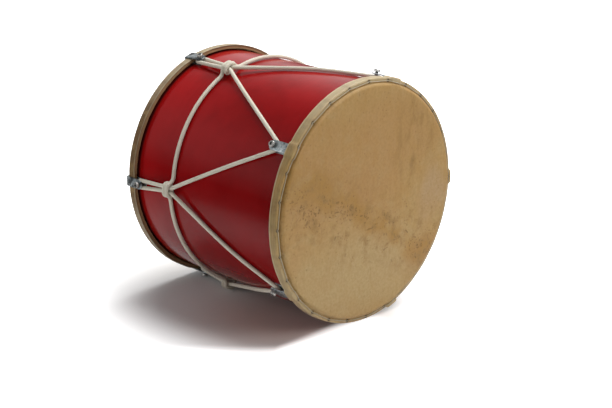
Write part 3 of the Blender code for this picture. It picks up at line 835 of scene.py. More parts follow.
def bolt_finish(colours):
    """Darker turned steel with bright rubbed edges."""
    material, shader, place = new_finish("bolt_steel", {"Specular IOR Level": 0.5})
    where = place["Object"]
    tarnish = mottled(where, 320, 4, 0.36, 0.68)
    colour = layered(
        colours.bolt, (TARNISH, tarnish),
        (BARE_STEEL, shared("Worn edges", vector=where, scale=600)["Mask"], 0.85))
    join(shader, base_color=colour, metallic=ramp(tarnish, 0.0, 1.0, 0.95, 0.80),
         roughness=ramp(tarnish, 0.0, 1.0, 0.24, 0.46),
         normal=relief(clouds(where, 2600, 2), 0.00003))
    return material


def rope_finish(name, colours, yarns, lay, main):
    """Plaited or twisted yarn with fibres, painted shade in its gaps, dirt and a soft sheen."""
    material, shader, place = new_finish(name, {
        "Specular IOR Level": 0.2, "Sheen Weight": 0.18, "Sheen Roughness": 0.55})
    plait = shared("Plaited yarn", map=place["UV"], yarns=yarns, lay=lay)
    colour = layered(
        main,
        (colours.rope_grime_and_gap_shade, mottled(place["Object"], 42, 5, 0.42, 0.72), 0.45),
        # Painted shade in the gaps between the yarns
        (colours.rope_grime_and_gap_shade, plait["Gap"], 0.65),
        (colours.rope_grime_and_gap_shade, ramp(plait["Fibre"], 0.38, 0.66), 0.22))
    height = plus(times(plait["Fibre"], 0.5), times(plait["Height"], 0.6))
    join(shader, base_color=colour, roughness=ramp(plait["Gap"], 0, 1, 0.68, 0.9),
         normal=relief(height, 0.00018))
    return material


# Rope, cord and thread


def evenly(points, spacing, closed):
    """Place points at even distances along a line of points."""
    line = np.array([tuple(point) for point in points])
    if closed:
        line = np.vstack([line, line[:1]])
    steps = np.linalg.norm(np.diff(line, axis=0), axis=1)
    travelled = np.concatenate([[0], np.cumsum(steps)])
    count = max(3, round(travelled[-1] / spacing))
    targets = np.linspace(0, travelled[-1], count + 1)
    placed = np.stack([np.interp(targets, travelled, line[:, k]) for k in range(3)], axis=1)
    return placed[:-1] if closed else placed


def relaxed(points, reach, closed, spacing=0.0004):
    """Round a route's corners over a reach, with its ends kept in place."""
    line = evenly(points, spacing, closed)
    half = max(1, round(3 * reach / spacing))
    if closed:
        padded = np.vstack([line[-half:], line, line[:half]])
    else:
        padded = np.vstack([2 * line[0] - line[half:0:-1], line,
                            2 * line[-1] - line[-2:-half - 2:-1]])
    weights = np.exp(-0.5 * (np.arange(-half, half + 1) * spacing / reach) ** 2)
    weights /= weights.sum()
    return np.stack([np.convolve(padded[:, k], weights, mode='valid') for k in range(3)],
                    axis=1)


def carried_frames(line, closed):
    """Two sideways directions at each point of a line, which don't twist along it."""
    ahead = np.roll(line, -1, axis=0) if closed else np.vstack([line[1:], line[-1:]])
    behind = np.roll(line, 1, axis=0) if closed else np.vstack([line[:1], line[:-1]])
    tangents = ahead - behind
    tangents /= np.linalg.norm(tangents, axis=1)[:, None]
    outwards = line[0] - np.array([line[0][0], 0, AXIS_HEIGHT])
    sides = []
    side = outwards
    for tangent in tangents:
        side = side - tangent * side.dot(tangent)
        side = side / np.linalg.norm(side)
        sides.append(side)
    sides = np.array(sides)
    others = np.cross(tangents, sides)
    if closed:
        carried = sides[-1] - tangents[0] * sides[-1].dot(tangents[0])
        slip = math.atan2(carried.dot(others[0]), carried.dot(sides[0]))
        turn = -slip * np.arange(len(line)) / len(line)
        sides, others = (np.cos(turn)[:, None] * sides + np.sin(turn)[:, None] * others,
                         np.cos(turn)[:, None] * others - np.sin(turn)[:, None] * sides)
    return sides, others


def cord_mesh(name, routes, closed, step, segments, radius_at):
    """Tubes along one or more routes as one mesh, mapped by length and by the way round."""
    places, faces, maps = [], [], []
    for route in routes:
        line = evenly(route, step, closed)
        sides, others = carried_frames(line, closed)
        spacing = np.linalg.norm(line[1] - line[0])
        rings = len(line)
        length = spacing * rings
        first = sum(len(block) for block in places)
        round_it = (np.arange(segments) / segments + 0.5) * 2 * math.pi
        along = np.arange(rings) * spacing
        radii = radius_at(along[:, None], round_it[None, :] / (2 * math.pi))
        ring = (sides[:, None, :] * np.cos(round_it)[None, :, None]
                + others[:, None, :] * np.sin(round_it)[None, :, None])
        places.append((line[:, None, :] + ring * radii[:, :, None]).reshape(-1, 3))
        spans = rings if closed else rings - 1
        for i in range(spans):
            here, there = first + i * segments, first + (i + 1) % rings * segments
            for j in range(segments):
                k = (j + 1) % segments
                faces.append((here + j, here + k, there + k, there + j))
                low, high = 0.5 + j / segments, 0.5 + (j + 1) / segments
                maps += [(i * spacing, low), (i * spacing, high),
                         ((i + 1) * spacing, high), ((i + 1) * spacing, low)]
        if not closed:
            last = first + (rings - 1) * segments
            faces.append(tuple(first + j for j in reversed(range(segments))))
            faces.append(tuple(last + j for j in range(segments)))
            maps += [(0, 0.5)] * segments + [(length, 0.5)] * segments
    mesh = bpy.data.meshes.new(name)
    mesh.from_pydata(np.vstack(places).tolist(), [], faces)
    layer = mesh.uv_layers.new(name="length_and_turn")
    layer.data.foreach_set("uv", np.array(maps, dtype=np.float32).ravel())
    mesh.shade_smooth()
    piece = bpy.data.objects.new(name, mesh)
    bpy.context.scene.collection.objects.link(piece)
    return piece


# Points round a rope, along a taut run and along a loop round a bolt
ROPE_SEGMENTS = 30
RUN_STEPS = 60
LOOP_STEPS = 24
# Reach over which the corners of each route are rounded
ROPE_ROUNDING = 0.0012
GIRDLE_ROUNDING = 0.0010
THREAD_ROUNDING = 0.0006
# A hitch's turns: the rope run that each goes round, its first and last angle, and the angle
# between points
HITCH_TURNS = ((-1, 170, 98), (1, 82, -86), (-1, -94, -262), (1, -278, -350))
HITCH_STEP = 6


def plaited_radius(sizes):
    """Rule for a plaited rope's radius at a length and a share of the way round."""
    def radius_at(along, share):
        lanes = [ROPE_YARNS * share + sign * along / sizes.yarn_lay for sign in (1, -1)]
        waves = [np.sin(math.pi * lane) for lane in lanes]
        over = YARN_WEAVE * waves[0] * waves[1]
        height = np.maximum(abs(waves[0]) * (YARN_CROWN + over),
                            abs(waves[1]) * (YARN_CROWN - over))
        return sizes.rope_core + sizes.yarn_rise * height
    return radius_at


def taut_radius(angle, knot_angle, bolt_angle):
    """Radius of a taut run from a hitch to a bolt, lifted off the shell at both ends."""
    lift_at_knot = math.degrees(math.acos(ROPE_ON_SHELL / ROPE_IN_HITCH))
    lift_at_bolt = math.degrees(math.acos(ROPE_ON_SHELL / ROPE_AT_BOLT))
    off_shell = max(lift_at_knot - abs(angle - knot_angle),
                    lift_at_bolt - abs(angle - bolt_angle), 0)
    return ROPE_ON_SHELL / math.cos(math.radians(off_shell))


def taut_run(knot_x, knot_angle, bolt_angle, side):
    """Run from a hitch's mouth to the side of a front bolt, and its slope in degrees."""
    front_x = depth_to_x("front", EYE_DEPTH["front"])
    mouth_x = knot_x + HITCH_HALF
    leave_angle = knot_angle + side * math.degrees(PAIR_OFFSET / ROPE_IN_HITCH)
    swing = math.radians(abs(bolt_angle - leave_angle))
    slope = math.atan2(swing * ROPE_ON_SHELL, front_x - mouth_x)
    arrive_x = front_x + BOLT_TURN_RADIUS * math.sin(slope)
    short_of_bolt = math.degrees(BOLT_TURN_RADIUS * math.cos(slope) / ROPE_AT_BOLT)
    arrive_angle = bolt_angle - side * short_of_bolt
    run = []
    for share in np.linspace(0, 1, RUN_STEPS + 1):
        angle = leave_angle + (arrive_angle - leave_angle) * share
        radius = taut_radius(angle, leave_angle, arrive_angle)
        run.append(at(mouth_x + (arrive_x - mouth_x) * share, radius, angle))
    return run, math.degrees(slope)


def bolt_loop(end, angle, first, last):
    """Loop round a bolt between two directions in degrees, over its side towards the face."""
    x = depth_to_x(end, EYE_DEPTH[end])
    loop = []
    for turn in np.radians(np.linspace(first, last, LOOP_STEPS + 1)):
        loop.append(beside(x + END_SIGN[end] * BOLT_TURN_RADIUS * math.cos(turn),
                           BOLT_TURN_RADIUS * math.sin(turn), ROPE_AT_BOLT, angle))
    return loop


def front_rope_route(i):
    """From the middle of one hitch over a front bolt to the middle of the next hitch."""
    j = (i + 1) % HOOKS
    bolt_angle = HOOK_ANGLES["front"][i] + HOOK_PITCH
    next_knot = HITCH_ANGLES[j] + (360 if j == 0 else 0)
    out, slope_out = taut_run(HITCH_X[i], HITCH_ANGLES[i], bolt_angle, 1)
    back, slope_back = taut_run(HITCH_X[j], next_knot, bolt_angle, -1)
    route = [beside(HITCH_X[i], PAIR_OFFSET, ROPE_IN_HITCH, HITCH_ANGLES[i])]
    route += out + bolt_loop("front", bolt_angle, slope_out - 90, 90 - slope_back)[1:-1]
    route += list(reversed(back))
    route.append(beside(HITCH_X[j], -PAIR_OFFSET, ROPE_IN_HITCH, next_knot))
    return route


def rear_rope_route(i):
    """From the middle of a hitch round its rear bolt and back."""
    out, back = [[beside(x, across, ROPE_IN_HITCH, HITCH_ANGLES[i])
                  for x in (HITCH_X[i], HITCH_X[i] - HITCH_HALF)]
                 for across in (-PAIR_OFFSET, PAIR_OFFSET)]
    return out + bolt_loop("rear", HOOK_ANGLES["rear"][i], -90, 90) + back[::-1]


def wrap_shift(degrees):
    """Place of a hitch's turns along the drum: 1 down to -20 degrees, -1 from -160 on."""
    return 1 - 2 * min(1, max(0, (-20 - degrees) / 140))


def hitch_route(knot_x, knot_angle):
    """Cord over a pair of rope runs, back under them and over again, two turns side by side."""
    low = -WRAP_RADIUS
    side = PAIR_OFFSET + WRAP_RADIUS
    slope = [(-HITCH_RAMP, low), (-(HITCH_RAMP + side) / 2, low + HITCH_RAMP_RISE / 4),
             (-side - ROPE_RADIUS / 2, low + HITCH_RAMP_RISE)]
    places = [(across, rise, 1) for across, rise in slope]
    for rope_side, first, last in HITCH_TURNS:
        for degrees in np.linspace(first, last, round((first - last) / HITCH_STEP) + 1):
            turn = math.radians(degrees)
            places.append((rope_side * PAIR_OFFSET + WRAP_RADIUS * math.cos(turn),
                           WRAP_RADIUS * math.sin(turn), wrap_shift(degrees)))
    places += [(-across, rise, -1) for across, rise in reversed(slope)]
    return [beside(knot_x + along * PAIR_OFFSET, across, ROPE_IN_HITCH + rise, knot_angle)
            for across, rise, along in places]


def girdle_route():
    """Endless cord round the shell through the five hitches."""
    ramp_angle = math.degrees(HITCH_RAMP / ROPE_IN_HITCH)
    route = []
    for i in range(HOOKS):
        route += hitch_route(HITCH_X[i], HITCH_ANGLES[i])
        j = (i + 1) % HOOKS
        start = HITCH_ANGLES[i] + ramp_angle
        stop = HITCH_ANGLES[j] + (360 if j == 0 else 0) - ramp_angle
        for share in np.arange(1, RUN_STEPS) / RUN_STEPS:
            x = HITCH_X[i] - PAIR_OFFSET + (HITCH_X[j] - HITCH_X[i] + 2 * PAIR_OFFSET) * share
            route.append(at(x, ROPE_ON_SHELL, start + (stop - start) * share))
    return route


def build_ropes(sizes, colours):
    """Tension rope in front of and behind the hitches, which slide with the girdle."""
    finish = rope_finish("plaited_rope", colours, ROPE_YARNS, sizes.yarn_lay, colours.rope)
    radius_at = plaited_radius(sizes)
    for name, make in (("tension_rope_front", front_rope_route),
                       ("tension_rope_rear", rear_rope_route)):
        routes = [relaxed(make(i), ROPE_ROUNDING, False) for i in range(HOOKS)]
        rope = cord_mesh(name, routes, False, sizes.rope_step, ROPE_SEGMENTS, radius_at)
        dress(rope, finish, None, "rope", "tension_rope")
    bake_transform(bpy.data.objects["tension_rope_front"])
    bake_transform(bpy.data.objects["tension_rope_rear"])


def build_girdle(sizes, colours):
    """Endless girdle cord with its five hitches."""
    finish = rope_finish("plaited_girdle", colours, ROPE_YARNS, sizes.yarn_lay, colours.rope)
    route = relaxed(girdle_route(), GIRDLE_ROUNDING, True)
    cord = cord_mesh("girdle_loop", [route], True, sizes.rope_step, ROPE_SEGMENTS,
                     plaited_radius(sizes))
    dress(cord, finish, "girdle", "rope", "girdle_cord")


# Shell, rings and skins

# Shell: points along and inside its wall, steps round it and the height of its waves
WALL_STEP = 0.0100
WALL_POINTS = 14
INNER_WALL_X = (-0.08, 0.0, 0.08)
SHELL_STEPS = 240
SHELL_WAVE = 0.00012


def build_shell(colours):
    """Lacquered shell, turned smooth and then given the slight waves of a bent board."""
    inner = SHELL_FLAT_RADIUS - SHELL_WALL
    flat_end = SHELL_END - EDGE
    half = [(SHELL_END, inner)]
    half += [(flat_end + EDGE * math.cos(turn), SHELL_RADIUS - EDGE + EDGE * math.sin(turn))
             for turn in np.linspace(0, math.pi / 2, 9)]
    half += [(flat_end - step * WALL_STEP, SHELL_RADIUS) for step in range(1, WALL_POINTS + 1)]
    section = half + [(-x, radius) for x, radius in reversed(half)]
    section += [(x, inner) for x in INNER_WALL_X] + half[:1]
    shell = turned_round_drum("lacquered_shell", section, SHELL_STEPS)

    def waved(place):
        radius, _ = polar(place)
        if radius < SHELL_FLAT_RADIUS - 0.001:
            return place
        wave = noise.noise(Vector((place.x * 5, place.y * 17, place.z * 17)))
        share = 1 + SHELL_WAVE * wave / radius
        return Vector((place.x, place.y * share,
                       AXIS_HEIGHT + (place.z - AXIS_HEIGHT) * share))

    reshape(shell, waved)
    smooth(shell)
    dress(shell, lacquer_finish(colours), "drum", "lacquer", "shell")


def paint_wood(colours):
    """Bare wood on the hoops and the rings inside, whose CAD shapes stay."""
    finish = wood_finish(colours)
    for name in ("front_hoop", "rear_hoop", "front_inner_ring", "rear_inner_ring"):
        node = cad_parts[name]
        for place in node.material_slots:
            place.material = finish


def arc_over_edge(centre, radius, last, steps):
    """Arc over the shell's bearing edge as (depth, radius) points, from its flat top out."""
    turns = np.linspace(0, last, steps + 1)
    return [(centre[0] - radius * math.cos(turn), centre[1] + radius * math.sin(turn))
            for turn in turns]


# Section of a skin: where its points lie on the face, rim and lap, and inside the lap
FACE_RADII = (0, 0.03, 0.06, 0.09, 0.115, 0.135, 0.150, 0.158)
RIM_RADII = (0.1690, 0.1698, 0.1706, 0.1714, 0.1723)
LAP_DEPTHS = (0.0078, 0.0088, 0.0098, 0.0108, 0.0118, 0.0128, 0.0138, 0.0148, 0.0158,
              0.0166, 0.0173)
INNER_LAP_DEPTHS = (0.0172, 0.0150, 0.0125, 0.0100, 0.0078)
INNER_RIM_RADII = (0.1714, 0.1700, 0.1686)
INNER_FACE_RADII = (0.148, 0.115, 0.06, 0)
CUT_EASE = 0.0002
# Outer curve of a skin over the shell's edge: its radius, and how far its middle lies out
CURVE_RADIUS = 0.0056
CURVE_SHIFT = 0.0022
# Small forms of a skin: where they start, its folds, its slack, the pull of its stitches,
# and the angles from a hook between which its bulge ends and the folds begin
SHAPED_FROM = 0.1615
FOLD_START = 0.007
FOLD_PITCH = 0.00175
RIM_SLACK = 0.00030
PULL_REACH = 0.0026
BULGE_ENDS = (2.75, 4.0)
FOLDS_BEGIN = (3.4, 6.5)
NOISE_SEED = {"front": 3.7, "rear": 41.3}
# How far each skin's stains are turned, and the dirt and painted shade of its lap
SKIN_LOOK = {"front": (0, 0.45), "rear": (math.radians(205), 0.95)}


def skin_section():
    """Section of a skin as (depth, radius): face, edge, rim and lap, and back inside."""
    outer = (CURVE_RADIUS, EDGE_CENTRE_RADIUS + CURVE_SHIFT)
    inner = (SKIN + FIT_GAP + EDGE, EDGE_CENTRE_RADIUS)
    inner_edge = SKIN_OVER_EDGE - SKIN
    rim_inner = RIM_DROP + SKIN
    over = math.acos((CURVE_RADIUS - RIM_DROP) / CURVE_RADIUS)
    under = math.acos((inner[0] - rim_inner) / inner_edge)
    corner = COLLAR_RADIUS - COLLAR_ROUNDING
    section = [(0, radius) for radius in FACE_RADII]
    section += arc_over_edge(outer, CURVE_RADIUS, over, 10)
    section += [(RIM_DROP, radius) for radius in RIM_RADII]
    section += [(RIM_DROP + COLLAR_ROUNDING * (1 - math.cos(turn)),
                 corner + COLLAR_ROUNDING * math.sin(turn))
                for turn in np.linspace(0, math.pi / 2, 5)]
    section += [(depth, COLLAR_RADIUS) for depth in LAP_DEPTHS]
    section += [(COLLAR_DEPTH - CUT_EASE, COLLAR_RADIUS - CUT_EASE),
                (COLLAR_DEPTH, COLLAR_RADIUS - SKIN / 2),
                (COLLAR_DEPTH - CUT_EASE, COLLAR_RADIUS - SKIN + CUT_EASE)]
    section += [(depth, COLLAR_RADIUS - SKIN) for depth in INNER_LAP_DEPTHS]
    section += [(rim_inner + 0.0004, corner), (rim_inner, corner - 0.0005)]
    section += [(rim_inner, radius) for radius in INNER_RIM_RADII]
    section += reversed(arc_over_edge(inner, inner_edge, under, 6))
    return section + [(SKIN, radius) for radius in INNER_FACE_RADII]


def to_hook(end, angle):
    """Angle to the nearest hook of one end, in degrees."""
    return min(abs(angle_apart(angle, hook)) for hook in HOOK_ANGLES[end])


def to_hole(angle):
    """Angle to the nearest hole that the thread goes through, in degrees."""
    return abs(angle_apart(angle * STITCHES, 0)) / STITCHES


def bulge(end, angle):
    """Rise of a front skin over the hooks' legs; the rear skin has its hooks outside."""
    return BULGE * (1 - eased(to_hook(end, angle), *BULGE_ENDS)) if end == "front" else 0


def skin_rule(end, sizes):
    """Rule that lays the bulges, folds, puckers and the wandering cut edge into a skin."""
    seed = NOISE_SEED[end]

    def rule(place):
        radius, angle = polar(place)
        if radius < SHAPED_FROM:
            return place
        depth = HALF_LENGTH - abs(place.x)
        turn = math.radians(angle)

        def uneven(scale, level):
            """Noise that runs round the drum."""
            return noise.noise(Vector((math.cos(turn) * scale, math.sin(turn) * scale,
                                       level)))

        rise = bulge(end, angle)
        on_lap = eased(radius, 0.1702, 0.1736)
        on_rim = eased(radius, 0.1640, 0.1685)
        # Long shallow folds that run round the lap
        ridge = math.sin((depth - FOLD_START) / FOLD_PITCH + 2.4 * uneven(2.2, seed))
        short = uneven(9, depth * 260 + seed)
        fold = sizes.fold * max(0, 0.45 * ridge + 0.55 + 0.7 * short) * 0.6
        lip = sizes.fold * eased(depth, 0.0160, 0.0172)
        clear = eased(to_hook(end, angle), *FOLDS_BEGIN)
        outwards = on_lap * (rise + clear * (fold + lip))
        # The rim between the stitches, and the pull of each stitch
        off_line = math.hypot(math.radians(to_hole(angle)) * radius,
                              radius - THREAD_LINE_RADIUS)
        pull = sizes.pucker * math.exp(-(off_line / PULL_REACH) ** 2)
        slack = RIM_SLACK * uneven(6, seed + radius * 90)
        inwards = on_rim * (pull + slack - rise) * (1 - eased(depth, 0.0085, 0.0150))
        strays = uneven(3.5, seed + 9) + 0.5 * uneven(14, seed + 5)
        inwards += sizes.edge_wander * max(-0.5, strays) * eased(depth, 0.0135, 0.0178)
        share = 1 + outwards / radius
        x = math.copysign(HALF_LENGTH - depth - inwards, place.x)
        height = AXIS_HEIGHT + (place.z - AXIS_HEIGHT) * share
        return Vector((x, place.y * share, max(height, 0)))

    return rule


def slit_cutter(angle):
    """Box that opens the rear skin where a hook's strap goes through it."""
    half = STRAP_WIDTH / 2 + FIT_GAP
    lows = Vector((-HALF_LENGTH, -half, INNER_LEG - FIT_GAP))
    highs = Vector((-HALF_LENGTH + COLLAR_DEPTH / 2, half, INNER_LEG + STRAP + FIT_GAP))
    object_mode()
    bpy.ops.mesh.primitive_cube_add(size=1, location=(lows + highs) / 2,
                                    scale=highs - lows)
    bpy.ops.object.transform_apply(location=True, rotation=True, scale=True)
    box = bpy.context.object
    box.data.transform(turn_round_drum(angle) @ Matrix.Translation((0, 0, AXIS_HEIGHT)))
    return box


def turn_round_drum(angle):
    """Turn round the drum's axis by an angle in degrees."""
    middle = Matrix.Translation((0, 0, AXIS_HEIGHT))
    return middle @ Matrix.Rotation(math.radians(angle), 4, 'X') @ middle.inverted()


def build_skin(end, sizes, colours):
    """One rawhide head, lapped over its hoop."""
    section = [(depth_to_x(end, depth), radius) for depth, radius in skin_section()]
    skin = turned_round_drum(end + "_skin", section, TURNED_STEPS)
    reshape(skin, skin_rule(end, sizes))
    if end == "rear":
        for angle in HOOK_ANGLES[end]:
            cut(skin, slit_cutter(angle))
    smooth(skin, 40)
    finish = skin_finish(end + "_rawhide", colours, *SKIN_LOOK[end])
    dress(skin, finish, "drum", "rawhide", end + "_head")


# Lacing thread: how it dips into its holes, its twist and its mesh
STEPS_PER_STITCH = 40
THREAD_DIP = 0.0016
THREAD_DIP_REACH = 0.0010
THREAD_LAY = 0.0016
THREAD_STEP = 0.0008
THREAD_SEGMENTS = 8


def build_stitching(end, sizes, colours):
    """Lacing thread in long stitches that dip into the holes of one rim."""
    half_pitch = math.radians(180 / STITCHES)
    route = []
    for i in range(STITCHES * STEPS_PER_STITCH):
        angle = 360 * i / (STITCHES * STEPS_PER_STITCH)
        from_hole = math.radians(to_hole(angle))
        radius = THREAD_LINE_RADIUS * math.cos(half_pitch) / math.cos(half_pitch - from_hole)
        dip = THREAD_DIP * math.exp(-(from_hole * radius / THREAD_DIP_REACH) ** 2)
        lift = sizes.thread_radius * 1.15 - dip
        route.append(at(depth_to_x(end, RIM_DROP - bulge(end, angle) - lift), radius, angle))
    material = rope_finish(end + "_lacing_thread", colours, 2, THREAD_LAY, colours.thread)

    def twisted(along, share):
        turn = share + along / (2 * THREAD_LAY)
        return sizes.thread_radius * (1 + 0.08 * np.sin(4 * math.pi * turn))

    thread = cord_mesh(end + "_stitching", [relaxed(route, THREAD_ROUNDING, True)], True,
                       THREAD_STEP, THREAD_SEGMENTS, twisted)
    dress(thread, material, "drum", "thread", end + "_lacing")


# Hooks and bolts

# Strap: what is cut off all round, its bends, its room for the skin's thread, and the depth at
# which the block that cuts it ends
STRAP_SPARE = 0.001
STRAP_BEND = 0.0020
THREAD_ROOM = 0.0006
PLAN_END = -0.005
# Bolt: steps round it, the break of its edges, the turn from one bolt to the next, and the
# rounding of its head as inwards and down from its top
BOLT_STEPS = 48
BOLT_BREAK = 0.0003
SOCKET_BREAK = 0.00012
BOLT_SPIN = 0.62
HEAD_ROUNDING = ((0, 0.0010), (0.0002, 0.0005), (0.0006, 0.0001), (0.0011, 0))


def rounded_line(corners, reach, steps):
    """Round each inner corner of a line with a short curve."""
    line = [corners[0]]
    for before, here, after in zip(corners, corners[1:], corners[2:]):
        back, onwards = before - here, after - here
        trim = min(reach, 0.45 * back.length, 0.45 * onwards.length)
        start = here + back.normalized() * trim
        stop = here + onwards.normalized() * trim
        for i in range(steps + 1):
            share = i / steps
            line.append(start * (1 - share) ** 2 + here * 2 * share * (1 - share)
                        + stop * share ** 2)
    return line + [corners[-1]]


def hook_line(end):
    """Centre line of a hook as (depth, radius), from its outer eye to its inner one."""
    tip = EYE_DEPTH[end] + STRAP_WIDTH / 2 + STRAP_SPARE
    outer, inner = EYE_LEG + STRAP / 2, INNER_LEG + STRAP / 2
    if end == "front":
        web, over_hoop = HOOP_DEPTH - FIT_GAP - STRAP / 2, HOOP_OUTER + FIT_GAP + STRAP / 2
    else:
        web = RIM_DROP - 2 * (FIT_GAP + THREAD_ROOM) - STRAP / 2
        over_hoop = COLLAR_RADIUS + FIT_GAP + STRAP / 2
    corners = [(tip, outer), (STEP_END, outer), (STEP_START, over_hoop), (web, over_hoop),
               (web, inner), (tip, inner)]
    return rounded_line([Vector(corner) for corner in corners], STRAP_BEND, 6)


def eye_pin(end, radius, corners, height=EYE_LEG, length=0.05):
    """Upright cylinder or prism in line with one end's eyes, at a height over the axis."""
    object_mode()
    bpy.ops.mesh.primitive_cylinder_add(
        vertices=corners, radius=radius, depth=length,
        location=(depth_to_x(end, EYE_DEPTH[end]), 0, AXIS_HEIGHT + height))
    return bpy.context.object


def eye_cutter(end):
    """Block with the strap's plan: parallel sides and one round end."""
    block = eye_pin(end, STRAP_WIDTH / 2, 72)
    bpy.ops.object.transform_apply(location=True, rotation=True, scale=True)
    for part in (block.data.polygons, block.data.edges):
        for item in part:
            item.select = False
    for vert in block.data.vertices:
        past_eye = vert.co.x - depth_to_x(end, EYE_DEPTH[end])
        vert.select = past_eye * END_SIGN[end] > 1e-5
    bpy.ops.object.mode_set(mode='EDIT')
    bpy.ops.transform.resize(value=(0, 1, 1), center_override=(depth_to_x(end, PLAN_END), 0, 0))
    bpy.ops.object.mode_set(mode='OBJECT')
    return block


def build_hook(end, sizes):
    """Strap bent to its profile, cut to its round-ended plan, drilled and eased."""
    half = STRAP_WIDTH / 2 + STRAP_SPARE
    points = [(depth_to_x(end, place.x), -half, AXIS_HEIGHT + place.y)
              for place in hook_line(end)]
    strap = drawn_line(end + "_strap", points)
    bpy.ops.mesh.extrude_edges_move(TRANSFORM_OT_translate={"value": (0, 2 * half, 0)})
    bpy.ops.mesh.select_all(action='SELECT')
    bpy.ops.mesh.normals_make_consistent(inside=False)
    bpy.ops.object.mode_set(mode='OBJECT')
    apply_modifier(strap, 'SOLIDIFY', thickness=STRAP, offset=0, use_even_offset=True)
    cut(strap, eye_cutter(end), 'INTERSECT')
    cut(strap, eye_pin(end, BOLT_HOLE, 40))
    apply_modifier(strap, 'BEVEL', width=sizes.edge_break, segments=2, limit_method='ANGLE',
                   angle_limit=math.radians(40))
    smooth(strap)
    return strap


def build_bolt(end, sizes):
    """Bolt with a ridged screw thread, a turned head and a hexagon socket."""
    x = depth_to_x(end, EYE_DEPTH[end])
    root = BOLT_RADIUS - SCREW_GROOVE
    profile = [(0, BOLT_FOOT), (root, BOLT_FOOT)]
    level = BOLT_FOOT + sizes.thread_pitch / 2
    while level < BOLT_UNDERHEAD - sizes.thread_pitch:
        profile += [(BOLT_RADIUS, level), (root, level + sizes.thread_pitch / 2)]
        level += sizes.thread_pitch
    profile += [(root, BOLT_UNDERHEAD - BOLT_BREAK), (BOLT_RADIUS, BOLT_UNDERHEAD),
                (BOLT_HEAD_RADIUS - BOLT_BREAK, BOLT_UNDERHEAD),
                (BOLT_HEAD_RADIUS, BOLT_UNDERHEAD + BOLT_BREAK)]
    profile += [(BOLT_HEAD_RADIUS - inwards, BOLT_TOP - down)
                for inwards, down in HEAD_ROUNDING]
    profile.append((0, BOLT_TOP))
    points = [(x + radius, 0, AXIS_HEIGHT + height) for radius, height in profile]
    bolt = turned(end + "_screw", points, BOLT_STEPS, (x, 0, 0), (0, 0, 1))
    cut(bolt, eye_pin(end, SOCKET_RADIUS, 6, BOLT_TOP, 2 * sizes.socket_depth))
    apply_modifier(bolt, 'BEVEL', width=SOCKET_BREAK, segments=2, limit_method='ANGLE',
                   angle_limit=math.radians(50))
    smooth(bolt)
    return bolt


def set_round(original, end, kind, spin, finish, slot):
    """Copy a piece to each of one end's hook places, each copy with its own mesh."""
    x = depth_to_x(end, EYE_DEPTH[end])
    for i, angle in enumerate(HOOK_ANGLES[end]):
        copy = original.copy()
        copy.data = original.data.copy()
        copy.name = copy.data.name = "%s_steel_%s_%d" % (end, kind, i + 1)
        bpy.context.scene.collection.objects.link(copy)
        own_turn = (Matrix.Translation((x, 0, 0)) @ Matrix.Rotation(spin * i, 4, 'Z')
                    @ Matrix.Translation((-x, 0, 0)))
        copy.data.transform(turn_round_drum(angle) @ own_turn)
        dress(copy, finish, "drum", slot, "%s_%s_%d" % (end, kind, i + 1))
    bpy.data.objects.remove(original)


# Stage

# Area lights: name, place, target and width
LIGHTS = (("key", (0.08, 0.86, 2.28), (0, 0, 0.10), 1.9),
          ("fill", (2.2, 0.9, 1.2), (0, 0, 0.18), 1.2),
          ("side", (-0.45, -1.60, 0.60), (-0.1, -0.1, 0.18), 1.2))


def place_camera(stage):
    """Camera at the photograph's viewing angle."""
    object_mode()
    bpy.ops.object.camera_add(location=stage.camera_place, rotation=stage.camera_turn)
    camera = bpy.context.object
    camera.name = "camera"
    camera.data.lens = stage.lens
    camera.data.sensor_width = 36
    camera.data.clip_start, camera.data.clip_end = 0.05, 60
    bpy.context.scene.camera = camera


def area_light(name, place, target, width, watts):
    """Square soft light that faces a point."""
    object_mode()
    aim = (Vector(target) - Vector(place)).to_track_quat('-Z', 'Y').to_euler()
    bpy.ops.object.light_add(type='AREA', location=place, rotation=aim)
    light = bpy.context.object
    light.name = name
    light.data.size = width
    light.data.energy = watts


# Floor: its place, the ellipse that is the middle of the shadow, the middle of the painted red
# bounce light, and the grey that the drum mirrors from far off
FLOOR_WIDTH = 40
FLOOR_DROP = 0.0002
SHADOW_STRETCH = (1, 1.25, 1)
SHADOW_SHIFT = (-0.01, 0.100, 0)
PAINTED_BOUNCE_MIDDLE = (0.075, -0.075, 0)
FAR_FLOOR = (0.18, 0.18, 0.18)


def floor_white(where, away, rays):
    """Strength of the floor's white: full beyond the shadow and in front of the head."""
    x, y, _ = parts_of(where)
    before_head = times(ramp(x, 0.132, 0.156, 0, 0.8), ramp(y, 0.035, -0.010))
    corner = ramp(minus(x, y), 0.282, 0.345, 0, 0.8)
    lit = plus(ramp(away, 0.14, 0.35, 0.01, 1.0), larger(before_head, corner))
    seen = larger(rays["Is Camera Ray"], rays["Is Glossy Ray"], rays["Is Transmission Ray"])
    dimmed = times(rays["Is Glossy Ray"], ramp(away, 0.30, 0.80, 0.45, 1.0))
    return times(seen, lit, minus(1.0, dimmed))


